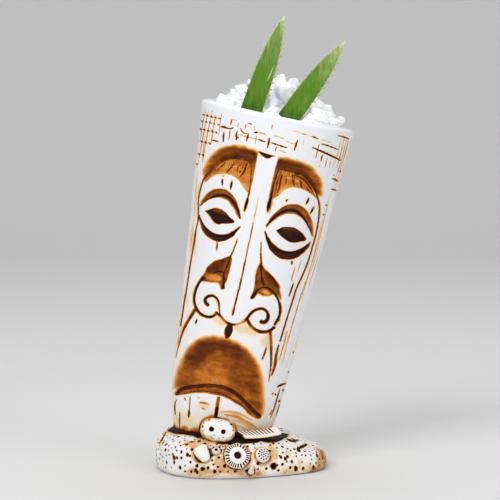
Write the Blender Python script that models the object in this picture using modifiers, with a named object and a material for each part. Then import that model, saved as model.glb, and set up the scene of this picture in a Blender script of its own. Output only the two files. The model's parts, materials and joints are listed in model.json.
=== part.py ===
"""A leaning ceramic tiki mug on a reef-shaped base, with crushed ice and two aloe leaves in it.

The cup is a tapered, slightly oval pot that leans towards +X. It is luted to a pebble-shaped
base, and small sea-shore sprigs are luted round the joint. The ice lifts out along the cup's
own axis, and each leaf pulls out along its own length.

Frame: metres, +Z up, +X the way the cup leans, -Y the front, where the carved face is.
Origin: the centre of the base's flat underside.
"""
import math
import random

import bmesh
import bpy
from mathutils import Matrix, Vector

MM = 0.001
GAP = 0.3 * MM                      # left between pieces that touch
MERGE = 0.01 * MM
SLAB_WIDTH = 0.4                    # wider than the whole mug

# Cup: distances along its axis are measured from the centre of its foot.
LEAN = math.radians(10.5)
FOOT_X = -11.1 * MM
CUP_LENGTH = 170.8 * MM
CUP_HALF_WIDTH = 28.35 * MM         # at the foot, before the tuck
CUP_FLARE = 0.0715                  # gain of half width for each metre of length
TUCK = 2.0 * MM                     # how far the wall draws in just above the foot
TUCK_LENGTH = 25.0 * MM
OVALITY = 0.92                      # depth over width
WALL = 4.2 * MM
FLOOR = 10.0 * MM
CUP_SIDES = 44

# Reef base: an egg-shaped pebble, blunt at the heel (-X) and narrower at the toe (+X).
BASE_HALF_LENGTH = 46.0 * MM
BASE_HALF_WIDTH = 38.5 * MM
EGG = 0.27                          # how much wider the heel half is than the toe half
CROWN_X = -8.0 * MM                 # the dome is highest here
BELLY_Z = 5.0 * MM                  # mean height of the widest outline
BELLY_TILT = 2.0 * MM               # how much lower it is at the toe, and higher at the heel
TOE_BLUNTNESS = 0.25
UNDERCUT = 1.12                     # how far the dome would reach below the floor
CROWN_Z = 22.2 * MM
SEAT_Z = 20.0 * MM                  # middle of the flat that the cup stands on
SEAT_TILT = math.radians(2.0)       # it falls a little towards the toe
BASE_SIDES = 44
BASE_RINGS = 22

# Contents
ICE_DEPTH = 35.0 * MM               # how far the ice reaches below the rim
ICE_CLEAR = 0.8 * MM
HEAP = 5.0 * MM                     # rise of the ice bed above the rim
LEAF_WIDTH = 11.2 * MM
LEAF_THICKNESS = 3.6 * MM
LEAF_BURIED = 33.0 * MM
LEAF_FORWARD = math.radians(9.0)    # the leaves lean against the front of the rim


def cup_half_width(along):
    """Outer half width of the cup at a distance along its axis."""
    tuck = max(0.0, 1.0 - along / TUCK_LENGTH)
    return CUP_HALF_WIDTH + CUP_FLARE * along - TUCK * min(tuck, 1.0) ** 2


def cup_frame():
    """The cup's own frame: origin at the centre of its foot, +Z along its axis."""
    return Matrix.Translation((FOOT_X, 0.0, SEAT_Z)) @ Matrix.Rotation(LEAN, 4, "Y")


def signed_power(value, power):
    return math.copysign(abs(value) ** power, value)


def reef_point(turn, rise, swell=0.0):
    """A point of the reef base's dome.

    turn: angle in plan from the toe, positive towards the front. rise: 0 at the belly, 90
    degrees at the crown, negative below the belly. swell: how far outside the true surface.
    """
    c, s = math.cos(turn), math.sin(turn)
    blunt = 1.0 - TOE_BLUNTNESS * max(0.0, c)
    edge_x = (BASE_HALF_LENGTH + swell) * signed_power(c, blunt)
    edge_y = -(BASE_HALF_WIDTH + swell) * signed_power(s, blunt) * (1.0 - EGG * c)
    plan_power = 4.0 - c
    side_power = 2.5 - 0.7 * c
    belly = BELLY_Z - BELLY_TILT * c
    up = abs(math.sin(rise))
    if rise >= 0.0:
        reach = abs(math.cos(rise)) ** (2.0 / plan_power)
        z = belly + (CROWN_Z - belly + swell) * up ** (2.0 / side_power)
    else:
        reach = abs(math.cos(rise)) ** 0.15
        z = belly - (belly * UNDERCUT + swell) * up ** 0.6
    return Vector((CROWN_X + reach * (edge_x - CROWN_X), reach * edge_y, z))


def reef_frame(turn_deg, rise_deg, spin_deg=0.0, lift=0.0):
    """A frame on the reef's surface: +Z out of it, +X level and to the right."""
    turn, rise = math.radians(turn_deg), math.radians(rise_deg)
    step = 0.01
    point = reef_point(turn, rise)
    right = reef_point(turn - step, rise) - point
    up = reef_point(turn, rise + step) - point
    out = right.cross(up).normalized()
    right.normalize()
    basis = Matrix((right, out.cross(right), out)).transposed().to_4x4()
    return Matrix.Translation(point + out * lift) @ basis @ Matrix.Rotation(
        math.radians(spin_deg), 4, "Z")


# ---- building helpers ----

def new_object(name, mesh, collection, matrix=None):
    obj = bpy.data.objects.new(name, mesh)
    collection.objects.link(obj)
    if matrix is not None:
        obj.matrix_world = matrix
    return obj


def bake(obj):
    """Apply the modifiers, so that the mesh is the evaluated shape."""
    bpy.context.view_layer.update()
    deps = bpy.context.evaluated_depsgraph_get()
    mesh = bpy.data.meshes.new_from_object(obj.evaluated_get(deps))
    obj.modifiers.clear()
    old, obj.data = obj.data, mesh
    bpy.data.meshes.remove(old)
    mesh.name = obj.name
    return obj


def mapped_sphere(name, segments, rings, place, collection, matrix=None):
    """A sphere whose points are moved by place(longitude, latitude)."""
    bm = bmesh.new()
    bmesh.ops.create_uvsphere(bm, u_segments=segments, v_segments=rings, radius=1.0)
    for vert in bm.verts:
        x, y, z = vert.co
        vert.co = place(math.atan2(y, x), math.asin(max(-1.0, min(1.0, z))))
    bmesh.ops.recalc_face_normals(bm, faces=bm.faces[:])
    mesh = bpy.data.meshes.new(name)
    bm.to_mesh(mesh)
    bm.free()
    return new_object(name, mesh, collection, matrix)


def turned(name, profile, sides, collection, matrix=None, ovality=1.0):
    """A profile of (radius, height) pairs, outer side first and top to bottom, turned round +Z."""
    bm = bmesh.new()
    verts = [bm.verts.new((radius, 0.0, height)) for radius, height in profile]
    for first, second in zip(verts, verts[1:]):
        bm.edges.new((first, second))
    mesh = bpy.data.meshes.new(name)
    bm.to_mesh(mesh)
    bm.free()
    obj = new_object(name, mesh, collection)
    screw = obj.modifiers.new("turn", "SCREW")
    screw.steps = sides
    screw.render_steps = sides
    screw.use_merge_vertices = True
    screw.merge_threshold = MERGE
    bake(obj)
    obj.data.transform(Matrix.Diagonal((1.0, ovality, 1.0, 1.0)))
    if matrix is not None:
        obj.matrix_world = matrix
    return obj


def cut(obj, *cutters):
    """Take the cutters away from the object."""
    for cutter in cutters:
        modifier = obj.modifiers.new("cut", "BOOLEAN")
        modifier.operation = "DIFFERENCE"
        modifier.solver = "EXACT"
        modifier.object = cutter
    return bake(obj)


def move_to(obj, collection):
    for owner in list(obj.users_collection):
        owner.objects.unlink(obj)
    collection.objects.link(obj)


def slab(name, low_z, high_z, cutters, tilt=0.0):
    """A wide flat cutter between two heights, tilted about the middle of the seat."""
    bpy.ops.mesh.primitive_cube_add(size=1.0, location=(0.0, 0.0, (low_z + high_z) / 2.0))
    obj = bpy.context.object
    obj.name = name
    obj.data.transform(Matrix.Diagonal((SLAB_WIDTH, SLAB_WIDTH, high_z - low_z, 1.0)))
    seat = Matrix.Translation((FOOT_X, 0.0, SEAT_Z))
    obj.matrix_world = (seat @ Matrix.Rotation(tilt, 4, "Y") @ seat.inverted()
                        @ Matrix.Translation((0.0, 0.0, (low_z + high_z) / 2.0)))
    move_to(obj, cutters)
    return obj


def hide_cutters(cutters):
    for obj in cutters.objects:
        obj.hide_render = True
        obj.display_type = "WIRE"


def finish(obj, colour, roughness, group, transmission=0.0):
    """Give the object its material, shading and parent."""
    material = bpy.data.materials.new(obj.name)
    material.use_nodes = True
    shader = material.node_tree.nodes["Principled BSDF"]
    shader.inputs["Base Color"].default_value = (*colour, 1.0)
    shader.inputs["Roughness"].default_value = roughness
    shader.inputs["Transmission Weight"].default_value = transmission
    obj.data.materials.clear()
    obj.data.materials.append(material)
    obj.data.shade_smooth()
    obj.data.set_sharp_from_angle(angle=math.radians(35.0))
    world = obj.matrix_world.copy()
    obj.parent = group
    obj.matrix_parent_inverse = Matrix.Identity(4)
    obj.matrix_world = world
    return obj


def group_empty(name, collection, matrix):
    empty = bpy.data.objects.new(name, None)
    collection.objects.link(empty)
    empty.matrix_world = matrix
    return empty


# ---- cup and base ----

def cup_profile(swell=0.0, tail=9.0 * MM):
    """Outer side of the cup from the rim down, closed on the axis at the bottom."""
    heights = [CUP_LENGTH - 2.2 * MM, 150 * MM, 120 * MM, 90 * MM, 60 * MM, 35 * MM, 24 * MM,
               16 * MM, 10 * MM, 5 * MM, 0.0]
    side = [(cup_half_width(h) + swell, h) for h in heights]
    return side + [(cup_half_width(0.0) + swell, -tail), (0.0, -tail)]


def make_cup(parts, seat_cutter):
    rim = cup_half_width(CUP_LENGTH)
    inner = [(cup_half_width(h) - WALL, h) for h in
             (FLOOR + 8 * MM, 45 * MM, 80 * MM, 115 * MM, 150 * MM, CUP_LENGTH - 2.2 * MM)]
    lip = [(rim - WALL + 0.9 * MM, CUP_LENGTH - 0.5 * MM), (rim - WALL / 2.0, CUP_LENGTH),
           (rim - 0.9 * MM, CUP_LENGTH - 0.5 * MM)]
    floor = [(0.0, FLOOR), (cup_half_width(FLOOR) - WALL - 7 * MM, FLOOR),
             (cup_half_width(FLOOR) - WALL - 2 * MM, FLOOR + 2 * MM)]
    profile = floor + inner + lip + cup_profile()
    cup = turned("cup_body", profile, CUP_SIDES, parts, cup_frame(), OVALITY)
    return cut(cup, seat_cutter)


def make_reef(name, collection, swell=0.0):
    return mapped_sphere(name, BASE_SIDES, BASE_RINGS,
                         lambda turn, rise: reef_point(-turn, rise, swell), collection)


# ---- sprigs: small sea-shore ornaments luted to the base and the cup's foot ----

def make_bone_bead(parts, cutters):
    """A rounded bone bead with two eye-holes, standing on the shelf in front of the cup."""
    half = Vector((8.9, 4.6, 6.2)) * MM
    squareness = 0.75

    def place(lon, lat):
        ring = signed_power(math.cos(lat), squareness)
        return Vector((half.x * ring * signed_power(math.cos(lon), squareness),
                       half.y * ring * signed_power(math.sin(lon), squareness),
                       half.z * signed_power(math.sin(lat), squareness)))

    matrix = (Matrix.Translation((-11.8 * MM, -31.0 * MM, 24.8 * MM))
              @ Matrix.Rotation(math.radians(9.0), 4, "Y")
              @ Matrix.Rotation(math.radians(-12.0), 4, "X"))
    bead = mapped_sphere("bone_bead", 24, 12, place, parts, matrix)
    for side in (-1.0, 1.0):
        eye = turned(f"eye_cutter_{side:+.0f}",
                     [(0.0, 3 * MM), (1.35 * MM, 3 * MM), (1.35 * MM, -1.8 * MM), (0.0, -2.4 * MM)],
                     14, cutters)
        eye.matrix_world = (matrix @ Matrix.Translation((side * 3.0 * MM, -half.y, -0.5 * MM))
                            @ Matrix.Rotation(math.radians(90.0), 4, "X"))
        cut(bead, eye)
    return bead


def make_comb_shell(parts):
    """A comb-like shell: a curved spine whose teeth lean to the left, and a plain right end."""
    left, right, spine, tooth = -9.2 * MM, 12.0 * MM, 1.9 * MM, 4.0 * MM
    teeth, pitch = 9, 1.93 * MM

    def rise(x):
        return -1.2 * MM * (1.0 - (x / right) ** 2)

    outline = [(left, rise(left)), (0.0, rise(0.0)), (right, 0.0), (right, 0.6 * spine),
               (10.7 * MM, spine + tooth), (7.0 * MM, spine + tooth), (8.4 * MM, rise(8.4 * MM) + spine)]
    for number in reversed(range(teeth)):
        root = left + 0.2 * MM + pitch * number
        lean = (-3.0 + 1.6 * number / teeth) * MM
        low, high = rise(root) + spine, rise(root) + spine + tooth
        outline += [(root + 1.2 * MM, low), (root + 0.85 * MM + lean, high),
                    (root + 0.2 * MM + lean, high), (root, low)]
    curve = bpy.data.curves.new("comb_outline", "CURVE")
    curve.dimensions = "2D"
    curve.fill_mode = "BOTH"
    curve.extrude = 0.7 * MM
    spline = curve.splines.new("POLY")
    spline.points.add(len(outline) - 1)
    for point, (x, y) in zip(spline.points, outline):
        point.co = (x, y, 0.0, 1.0)
    spline.use_cyclic_u = True
    guide = bpy.data.objects.new("comb_guide", curve)
    parts.objects.link(guide)
    bpy.context.view_layer.update()
    deps = bpy.context.evaluated_depsgraph_get()
    mesh = bpy.data.meshes.new_from_object(guide.evaluated_get(deps))
    bpy.data.objects.remove(guide)
    bm = bmesh.new()
    bm.from_mesh(mesh)
    bmesh.ops.remove_doubles(bm, verts=bm.verts[:], dist=MERGE)
    bm.to_mesh(mesh)
    bm.free()
    matrix = (Matrix.Translation((10.6 * MM, -27.4 * MM, 20.9 * MM))
              @ Matrix.Rotation(math.radians(26.0), 4, "Z")
              @ Matrix.Rotation(math.radians(-0.5), 4, "Y")
              @ Matrix.Rotation(math.radians(34.0), 4, "X"))
    return new_object("comb_shell", mesh, parts, matrix)


def make_daisy_barnacle(parts):
    """A flat round barnacle, flared like a daisy round its open centre."""
    radius, hole, height = 6.7 * MM, 2.0 * MM, 2.6 * MM
    profile = [(0.0, 0.4 * MM), (hole * 0.8, 0.4 * MM), (hole, height), (radius * 0.55, height),
               (radius * 0.9, height * 0.7), (radius, height * 0.3), (radius * 0.95, -2.5 * MM),
               (0.0, -2.5 * MM)]
    return turned("daisy_barnacle", profile, 32, parts, reef_frame(92.0, 19.5))


def make_pearl_urchin(parts):
    radius, height = 3.9 * MM, 1.9 * MM
    profile = [(radius * math.sin(a), height * math.cos(a))
               for a in (math.radians(d) for d in (0, 22, 44, 66, 90))]
    profile += [(radius * 0.95, -1.6 * MM), (0.0, -1.6 * MM)]
    return turned("pearl_urchin", profile, 24, parts, reef_frame(75.8, 21.5))


def make_fan_shell(parts):
    """A small scallop, pointed at its hinge and wide at its lip."""
    length, width, height = 9.0 * MM, 8.8 * MM, 1.9 * MM

    def place(lon, lat):
        ring = math.cos(lat)
        along = ring * math.cos(lon)
        taper = 0.78 + 0.22 * along
        return Vector((length / 2.0 * along, width / 2.0 * ring * math.sin(lon) * taper,
                       height * math.sin(lat)))

    return mapped_sphere("fan_shell", 20, 10, place, parts, reef_frame(115.4, 20.0, 128.0))


def make_barnacles(parts):
    """A cluster of small crater barnacles between the fan shell and the daisy."""
    made = []
    for number, (turn, rise, radius) in enumerate(
            ((106.0, 27.5, 2.2), (101.6, 35.0, 1.3), (110.6, 36.0, 1.2)), start=1):
        r = radius * MM
        profile = [(0.0, 0.2 * r), (0.3 * r, 0.3 * r), (0.45 * r, 0.95 * r), (0.62 * r, 0.9 * r),
                   (r, 0.0), (r, -0.5 * r), (0.0, -0.5 * r)]
        made.append(turned(f"barnacle_{number}", profile, 16, parts, reef_frame(turn, rise)))
    return made


def make_cone_shell(parts):
    radius, height = 1.5 * MM, 4.2 * MM
    profile = [(0.0, height), (0.5 * radius, 0.85 * height), (0.8 * radius, 0.45 * height),
               (radius, 0.0), (0.8 * radius, -0.3 * height), (0.0, -0.4 * height)]
    frame = reef_frame(83.8, -2.0, lift=1.0 * MM)
    return turned("cone_shell", profile, 14, parts,
                  frame @ Matrix.Rotation(math.radians(-62.0), 4, "X"))


# ---- ice and leaves ----

def leaf_frame(root_x, root_y, root_z, tilt_deg):
    """The leaf's frame: origin level with the rim, +Z along the leaf, -Y its hollowed face."""
    return (Matrix.Translation((root_x, root_y, root_z))
            @ Matrix.Rotation(math.radians(tilt_deg), 4, "Y")
            @ Matrix.Rotation(LEAF_FORWARD, 4, "X"))


def make_leaf(name, matrix, visible, collection):
    """A thick tapering leaf: nearly straight sides, a sharp tip and a hollowed front."""
    total = LEAF_BURIED + visible
    hollow = 1.0 * MM

    def place(lon, lat):
        along = total * (lat / math.pi + 0.5) ** 0.85 - LEAF_BURIED
        taper = 1.0 - max(0.0, along / visible) ** 4
        end = min(1.0, 3.0 * math.cos(lat))
        across = math.cos(lon)
        x = LEAF_WIDTH / 2.0 * across * taper * end
        y = LEAF_THICKNESS / 2.0 * math.sin(lon) * taper * end
        return Vector((x, y - hollow * across * across * taper, along))

    return mapped_sphere(name, 14, 20, place, collection, matrix)


def make_slot(name, matrix, cutters):
    """The room that a leaf needs in the ice: its widest section, drawn straight up."""
    half_x = LEAF_WIDTH / 2.0 + 0.7 * MM
    half_y = LEAF_THICKNESS / 2.0 + 1.3 * MM
    bpy.ops.mesh.primitive_cylinder_add(vertices=16, radius=1.0, depth=1.0)
    slot = bpy.context.object
    slot.name = name
    length = LEAF_BURIED + 60.0 * MM
    slot.data.transform(Matrix.Translation((0.0, -0.3 * MM, length / 2.0 - LEAF_BURIED - 2 * MM))
                        @ Matrix.Diagonal((half_x, half_y, length, 1.0)))
    move_to(slot, cutters)
    slot.matrix_world = matrix
    return slot


def make_ice_bed(parts, slots):
    """The packed ice that fills the top of the cup, with a slot for each leaf."""
    bottom = CUP_LENGTH - ICE_DEPTH
    rim = cup_half_width(CUP_LENGTH) - WALL - ICE_CLEAR
    low = cup_half_width(bottom) - WALL - ICE_CLEAR
    profile = [(0.0, CUP_LENGTH + HEAP), (rim * 0.45, CUP_LENGTH + HEAP * 0.85),
               (rim * 0.8, CUP_LENGTH + HEAP * 0.35), (rim - 1.0 * MM, CUP_LENGTH - 2 * MM),
               (rim - 0.6 * MM, CUP_LENGTH - 6 * MM), (low, bottom + 3 * MM),
               (low - 3 * MM, bottom), (0.0, bottom)]
    bed = turned("ice_bed", profile, 36, parts, cup_frame(), OVALITY)
    return cut(bed, *slots)


def make_ice_chunks(parts, slots, bed_clearance):
    """Loose lumps heaped on the bed. Each is a faceted pebble with its own size and turn."""
    places = (  # across, depth and height over the rim plane, radius, all in mm
        (-27.0, -6.0, 2.6, 5.0), (-22.0, 9.0, 4.6, 5.6), (-12.0, 18.0, 5.0, 5.8),
        (-13.5, 2.0, 8.4, 6.6), (-14.5, -14.0, 5.6, 5.4), (-0.5, 6.0, 11.0, 6.8),
        (2.0, 22.0, 4.8, 6.2), (13.5, 11.0, 10.0, 6.6), (11.5, -5.0, 9.6, 5.8),
        (24.5, 3.0, 6.6, 5.8), (19.0, 21.0, 3.2, 5.2), (27.5, -9.0, 2.8, 4.6),
        (1.5, -8.5, 8.6, 4.6), (29.0, 14.0, 1.4, 3.8), (-24.0, 20.0, 0.6, 3.6),
    )
    rng = random.Random(7)
    made = []
    for number, (across, depth, height, radius) in enumerate(places, start=1):
        bm = bmesh.new()
        bmesh.ops.create_icosphere(bm, subdivisions=2, radius=radius * MM)
        lumps = [Vector([rng.uniform(-1.0, 1.0) for _ in range(3)]).normalized()
                 for _ in range(5)]
        for vert in bm.verts:
            flat = max(vert.co.normalized().dot(lump) for lump in lumps)
            vert.co *= 1.0 - 0.16 * max(0.0, flat)
        mesh = bpy.data.meshes.new(f"ice_chunk_{number:02d}")
        bm.to_mesh(mesh)
        bm.free()
        place = cup_frame() @ Matrix.Translation(
            (across * MM, depth * MM, CUP_LENGTH + height * MM))
        chunk = new_object(mesh.name, mesh, parts, place)
        chunk.modifiers.new("coarse", "DECIMATE").ratio = 0.4
        bake(chunk)
        made.append(cut(chunk, bed_clearance, *slots))
    return made


def make_bed_clearance(cutters):
    """The bed's upper side, one gap larger, which the chunks are cut back from."""
    rim = cup_half_width(CUP_LENGTH) - WALL
    profile = [(0.0, CUP_LENGTH + HEAP + GAP), (rim * 0.45, CUP_LENGTH + HEAP * 0.85 + GAP),
               (rim * 0.8, CUP_LENGTH + HEAP * 0.35 + GAP), (rim * 1.25, CUP_LENGTH + GAP),
               (rim * 1.25, CUP_LENGTH - 30 * MM), (0.0, CUP_LENGTH - 30 * MM)]
    return turned("bed_clearance", profile, 36, cutters, cup_frame(), OVALITY)


def main():
    for obj in list(bpy.data.objects):
        bpy.data.objects.remove(obj)
    scene = bpy.context.scene.collection
    parts = bpy.data.collections.new("tiki_mug")
    cutters = bpy.data.collections.new("cutters")
    scene.children.link(parts)
    scene.children.link(cutters)

    mug = group_empty("mug", parts, Matrix.Identity(4))
    ice_group = group_empty("ice", parts, cup_frame())

    ivory = (0.86, 0.83, 0.76)
    sand = (0.80, 0.70, 0.55)
    bone = (0.88, 0.86, 0.80)
    ice_white = (0.90, 0.95, 1.0)
    green = (0.22, 0.48, 0.10)

    below_seat = slab("below_seat", -40 * MM, SEAT_Z + GAP / 2.0, cutters, SEAT_TILT)
    above_seat = slab("above_seat", SEAT_Z - GAP / 2.0, 60 * MM, cutters, SEAT_TILT)
    below_floor = slab("below_floor", -40 * MM, 0.0, cutters)
    finish(make_cup(parts, below_seat), ivory, 0.18, mug)
    reef = cut(make_reef("reef_base", parts), above_seat, below_floor)
    finish(reef, sand, 0.35, mug)

    reef_room = make_reef("reef_room", cutters, GAP)
    above_room = slab("above_room", SEAT_Z + GAP / 2.0, 60 * MM, cutters, SEAT_TILT)
    reef_room = cut(reef_room, above_room)
    cup_room = turned("cup_room", [(0.0, CUP_LENGTH)] + cup_profile(GAP), CUP_SIDES, cutters,
                      cup_frame(), OVALITY)
    sprigs = [make_bone_bead(parts, cutters), make_comb_shell(parts), make_daisy_barnacle(parts),
              make_pearl_urchin(parts), make_fan_shell(parts), make_cone_shell(parts)]
    sprigs += make_barnacles(parts)
    for sprig in sprigs:
        finish(cut(sprig, reef_room, cup_room), bone, 0.25, mug)

    leaves = {
        "leaf_left": (leaf_frame(5.6 * MM, -24.0 * MM, 190.5 * MM, 19.3), 52.6 * MM),
        "leaf_right": (leaf_frame(25.0 * MM, -17.5 * MM, 186.6 * MM, 36.1), 49.9 * MM),
    }
    slots = [make_slot(f"{name}_slot", matrix, cutters) for name, (matrix, _) in leaves.items()]
    for name, (matrix, visible) in leaves.items():
        pivot = group_empty(f"{name}_group", parts, matrix)
        finish(make_leaf(name, matrix, visible, parts), green, 0.4, pivot)

    finish(make_ice_bed(parts, slots), ice_white, 0.1, ice_group, 0.9)
    for chunk in make_ice_chunks(parts, slots, make_bed_clearance(cutters)):
        finish(chunk, ice_white, 0.1, ice_group, 0.9)
    hide_cutters(cutters)


main()
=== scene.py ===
"""Looks for the leaning tiki mug: carved and stained glaze, pitted reef base, shell sprigs,
crushed ice and two aloe leaves.

The face is designed as a flat drawing in millimetres, p across and q up, which is laid on the
curved wall along the sight lines of somebody standing in front of the mug. Each stroke of the
drawing cuts the wall and leaves stain in the cut. The two results, a depth and a tone, are kept
on the mesh: the depth moves the points, and the tone drives the glaze's colours.
"""
import json
import math
import random

import bmesh
import bpy
import numpy as np
from mathutils import Matrix, Vector


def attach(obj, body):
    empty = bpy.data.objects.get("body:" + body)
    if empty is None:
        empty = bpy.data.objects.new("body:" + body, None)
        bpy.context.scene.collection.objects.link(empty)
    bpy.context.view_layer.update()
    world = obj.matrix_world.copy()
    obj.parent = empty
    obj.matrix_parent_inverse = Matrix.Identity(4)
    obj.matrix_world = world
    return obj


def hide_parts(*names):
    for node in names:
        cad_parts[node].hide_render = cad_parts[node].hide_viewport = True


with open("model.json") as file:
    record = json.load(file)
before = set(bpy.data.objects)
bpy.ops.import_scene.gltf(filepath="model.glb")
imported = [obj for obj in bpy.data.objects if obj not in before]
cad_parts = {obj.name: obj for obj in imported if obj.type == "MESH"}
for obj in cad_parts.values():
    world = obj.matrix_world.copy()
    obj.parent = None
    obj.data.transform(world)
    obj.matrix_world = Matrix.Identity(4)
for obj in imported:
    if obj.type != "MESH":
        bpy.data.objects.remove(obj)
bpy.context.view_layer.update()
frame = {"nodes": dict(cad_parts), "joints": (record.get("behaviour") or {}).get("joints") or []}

MM = 0.001

# ---- the frame's measures, in millimetres ----
LIFT = next(j for j in frame["joints"] if j["name"] == "ice_lift")
LEAN = math.atan2(LIFT["axis"][0], LIFT["axis"][2])
LEAN_SIN, LEAN_COS = math.sin(LEAN), math.cos(LEAN)
SEAT_Z = 20.0
SEAT_FALL = math.tan(math.radians(2.0))   # the seat falls a little towards the toe
FOOT_X = -11.1
CUP_LENGTH = 170.8
WALL = 4.2
OVALITY = 0.92

# ---- the viewer's place, from which the drawing is laid on the wall ----
EYE = (5.0, -1200.0, 225.0)
AIM = (5.0, 0.0, 116.0)
LOOK_DOWN = math.atan2(EYE[2] - AIM[2], AIM[1] - EYE[1])
AIM_DISTANCE = math.hypot(EYE[2] - AIM[2], AIM[1] - EYE[1])
VIEW_WIDTH = 265.0                  # seen across at the mug
FACE_TURN = math.radians(12.0)      # the face leans a little more than the cup
FACE_FOOT = (-16.2, 22.5)           # x and z of the drawing's origin


def cup_half_width(along):
    """Outer half width of the cup at a distance along its axis."""
    tuck = np.clip(1.0 - along / 25.0, 0.0, 1.0)
    return 28.35 + 0.0715 * along - 2.0 * tuck ** 2


def cup_to_world(local):
    """Points (..., 3) from the cup's own frame, +Z along its axis, to the row frame."""
    x, y, z = local[..., 0], local[..., 1], local[..., 2]
    return np.stack((FOOT_X + x * LEAN_COS + z * LEAN_SIN, y,
                     SEAT_Z - x * LEAN_SIN + z * LEAN_COS), axis=-1)


def seat_height(x):
    return SEAT_Z - (x - FOOT_X) * SEAT_FALL


def seen_place(world):
    """Across and up, in millimetres, of points (..., 3) as the viewer sees them."""
    side = world[..., 0] - EYE[0]
    away = world[..., 1] - EYE[1]
    above = world[..., 2] - EYE[2]
    c, s = math.cos(LOOK_DOWN), math.sin(LOOK_DOWN)
    reach = AIM_DISTANCE / (away * c - above * s)
    return np.stack((AIM[0] + side * reach, AIM[2] + (away * s + above * c) * reach), axis=-1)


def drawing_place(world):
    """Where points (..., 3) fall on the drawing: p across and q up, in millimetres."""
    seen = seen_place(world)
    dx, dz = seen[..., 0] - FACE_FOOT[0], seen[..., 1] - FACE_FOOT[1]
    c, s = math.cos(FACE_TURN), math.sin(FACE_TURN)
    return np.stack((dx * c - dz * s, dx * s + dz * c), axis=-1)


# ---- small maths ----

def smooth(low, high, value):
    t = np.clip((value - low) / (high - low), 0.0, 1.0)
    return t * t * (3.0 - 2.0 * t)


def signed_power(value, power):
    return np.sign(value) * np.abs(value) ** power


def hashed(ix, iy, iz, seed):
    """A repeatable number from 0 to 1 for each whole lattice point."""
    h = (ix * 374761393 + iy * 668265263 + iz * 2147483647 + seed * 974634777) & 0xFFFFFFFF
    h = ((h ^ (h >> 13)) * 1274126177) & 0xFFFFFFFF
    h = ((h ^ (h >> 16)) * 2246822519) & 0xFFFFFFFF
    return (h ^ (h >> 15)) / 4294967295.0


def noise3(points, size, seed=0):
    """Smooth noise from 0 to 1 whose lumps are about size across."""
    scaled = np.asarray(points, float) / size + 1000.0
    whole = np.floor(scaled).astype(np.int64)
    part = scaled - whole
    part = part * part * (3.0 - 2.0 * part)
    total = 0.0
    for dx in (0, 1):
        for dy in (0, 1):
            for dz in (0, 1):
                weight = (np.where(dx, part[..., 0], 1 - part[..., 0])
                          * np.where(dy, part[..., 1], 1 - part[..., 1])
                          * np.where(dz, part[..., 2], 1 - part[..., 2]))
                total = total + weight * hashed(whole[..., 0] + dx, whole[..., 1] + dy,
                                                whole[..., 2] + dz, seed)
    return total


def curve_through(points, steps=8):
    """A smooth curve through given points."""
    pts = np.asarray(points, float)
    if len(pts) < 3:
        return pts
    ends = np.vstack((2 * pts[0] - pts[1], pts, 2 * pts[-1] - pts[-2]))
    t = np.linspace(0.0, 1.0, steps, endpoint=False)[:, None]
    runs = []
    for a, b, c, d in zip(ends, ends[1:], ends[2:], ends[3:]):
        runs.append(0.5 * (2 * b + (c - a) * t + (2 * a - 5 * b + 4 * c - d) * t ** 2
                           + (3 * b - a - 3 * c + d) * t ** 3))
    return np.vstack(runs + [pts[-1:]])


def nearest_on_curve(places, curve):
    """Distance from each place to the curve, and how far along it (0 to 1) the nearest point is."""
    lengths = np.linalg.norm(np.diff(curve, axis=0), axis=1)
    marks = np.concatenate(([0.0], np.cumsum(lengths)))
    best = np.full(len(places), 1e9)
    share = np.zeros(len(places))
    for start, end, length, mark in zip(curve, curve[1:], lengths, marks):
        if length < 1e-9:
            continue
        along = np.clip(((places - start) @ (end - start)) / length ** 2, 0.0, 1.0)
        gap = np.linalg.norm(places - start - along[:, None] * (end - start), axis=1)
        closer = gap < best
        best = np.where(closer, gap, best)
        share = np.where(closer, (mark + along * length) / marks[-1], share)
    return best, share


def inside_outline(places, outline):
    """True where a place is inside the closed outline."""
    x, y = places[:, 0], places[:, 1]
    inside = np.zeros(len(places), bool)
    for (x0, y0), (x1, y1) in zip(outline, np.roll(outline, -1, axis=0)):
        if y0 == y1:
            continue
        crosses = ((y0 > y) != (y1 > y)) & (x < (x1 - x0) * (y - y0) / (y1 - y0) + x0)
        inside ^= crosses
    return inside


def spread_out(grid, reach):
    """The grid's values averaged over a neighbourhood, in three passes, closed across its columns."""
    for _ in range(3):
        padded = np.pad(grid, ((reach, reach), (0, 0)), mode="edge")
        sums = np.cumsum(np.vstack((np.zeros(grid.shape[1]), padded)), axis=0)
        grid = (sums[2 * reach + 1:] - sums[:-2 * reach - 1]) / (2 * reach + 1)
        padded = np.concatenate((grid[:, -reach:], grid, grid[:, :reach]), axis=1)
        sums = np.cumsum(np.hstack((np.zeros((grid.shape[0], 1)), padded)), axis=1)
        grid = (sums[:, 2 * reach + 1:] - sums[:, :-2 * reach - 1]) / (2 * reach + 1)
    return grid


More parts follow.
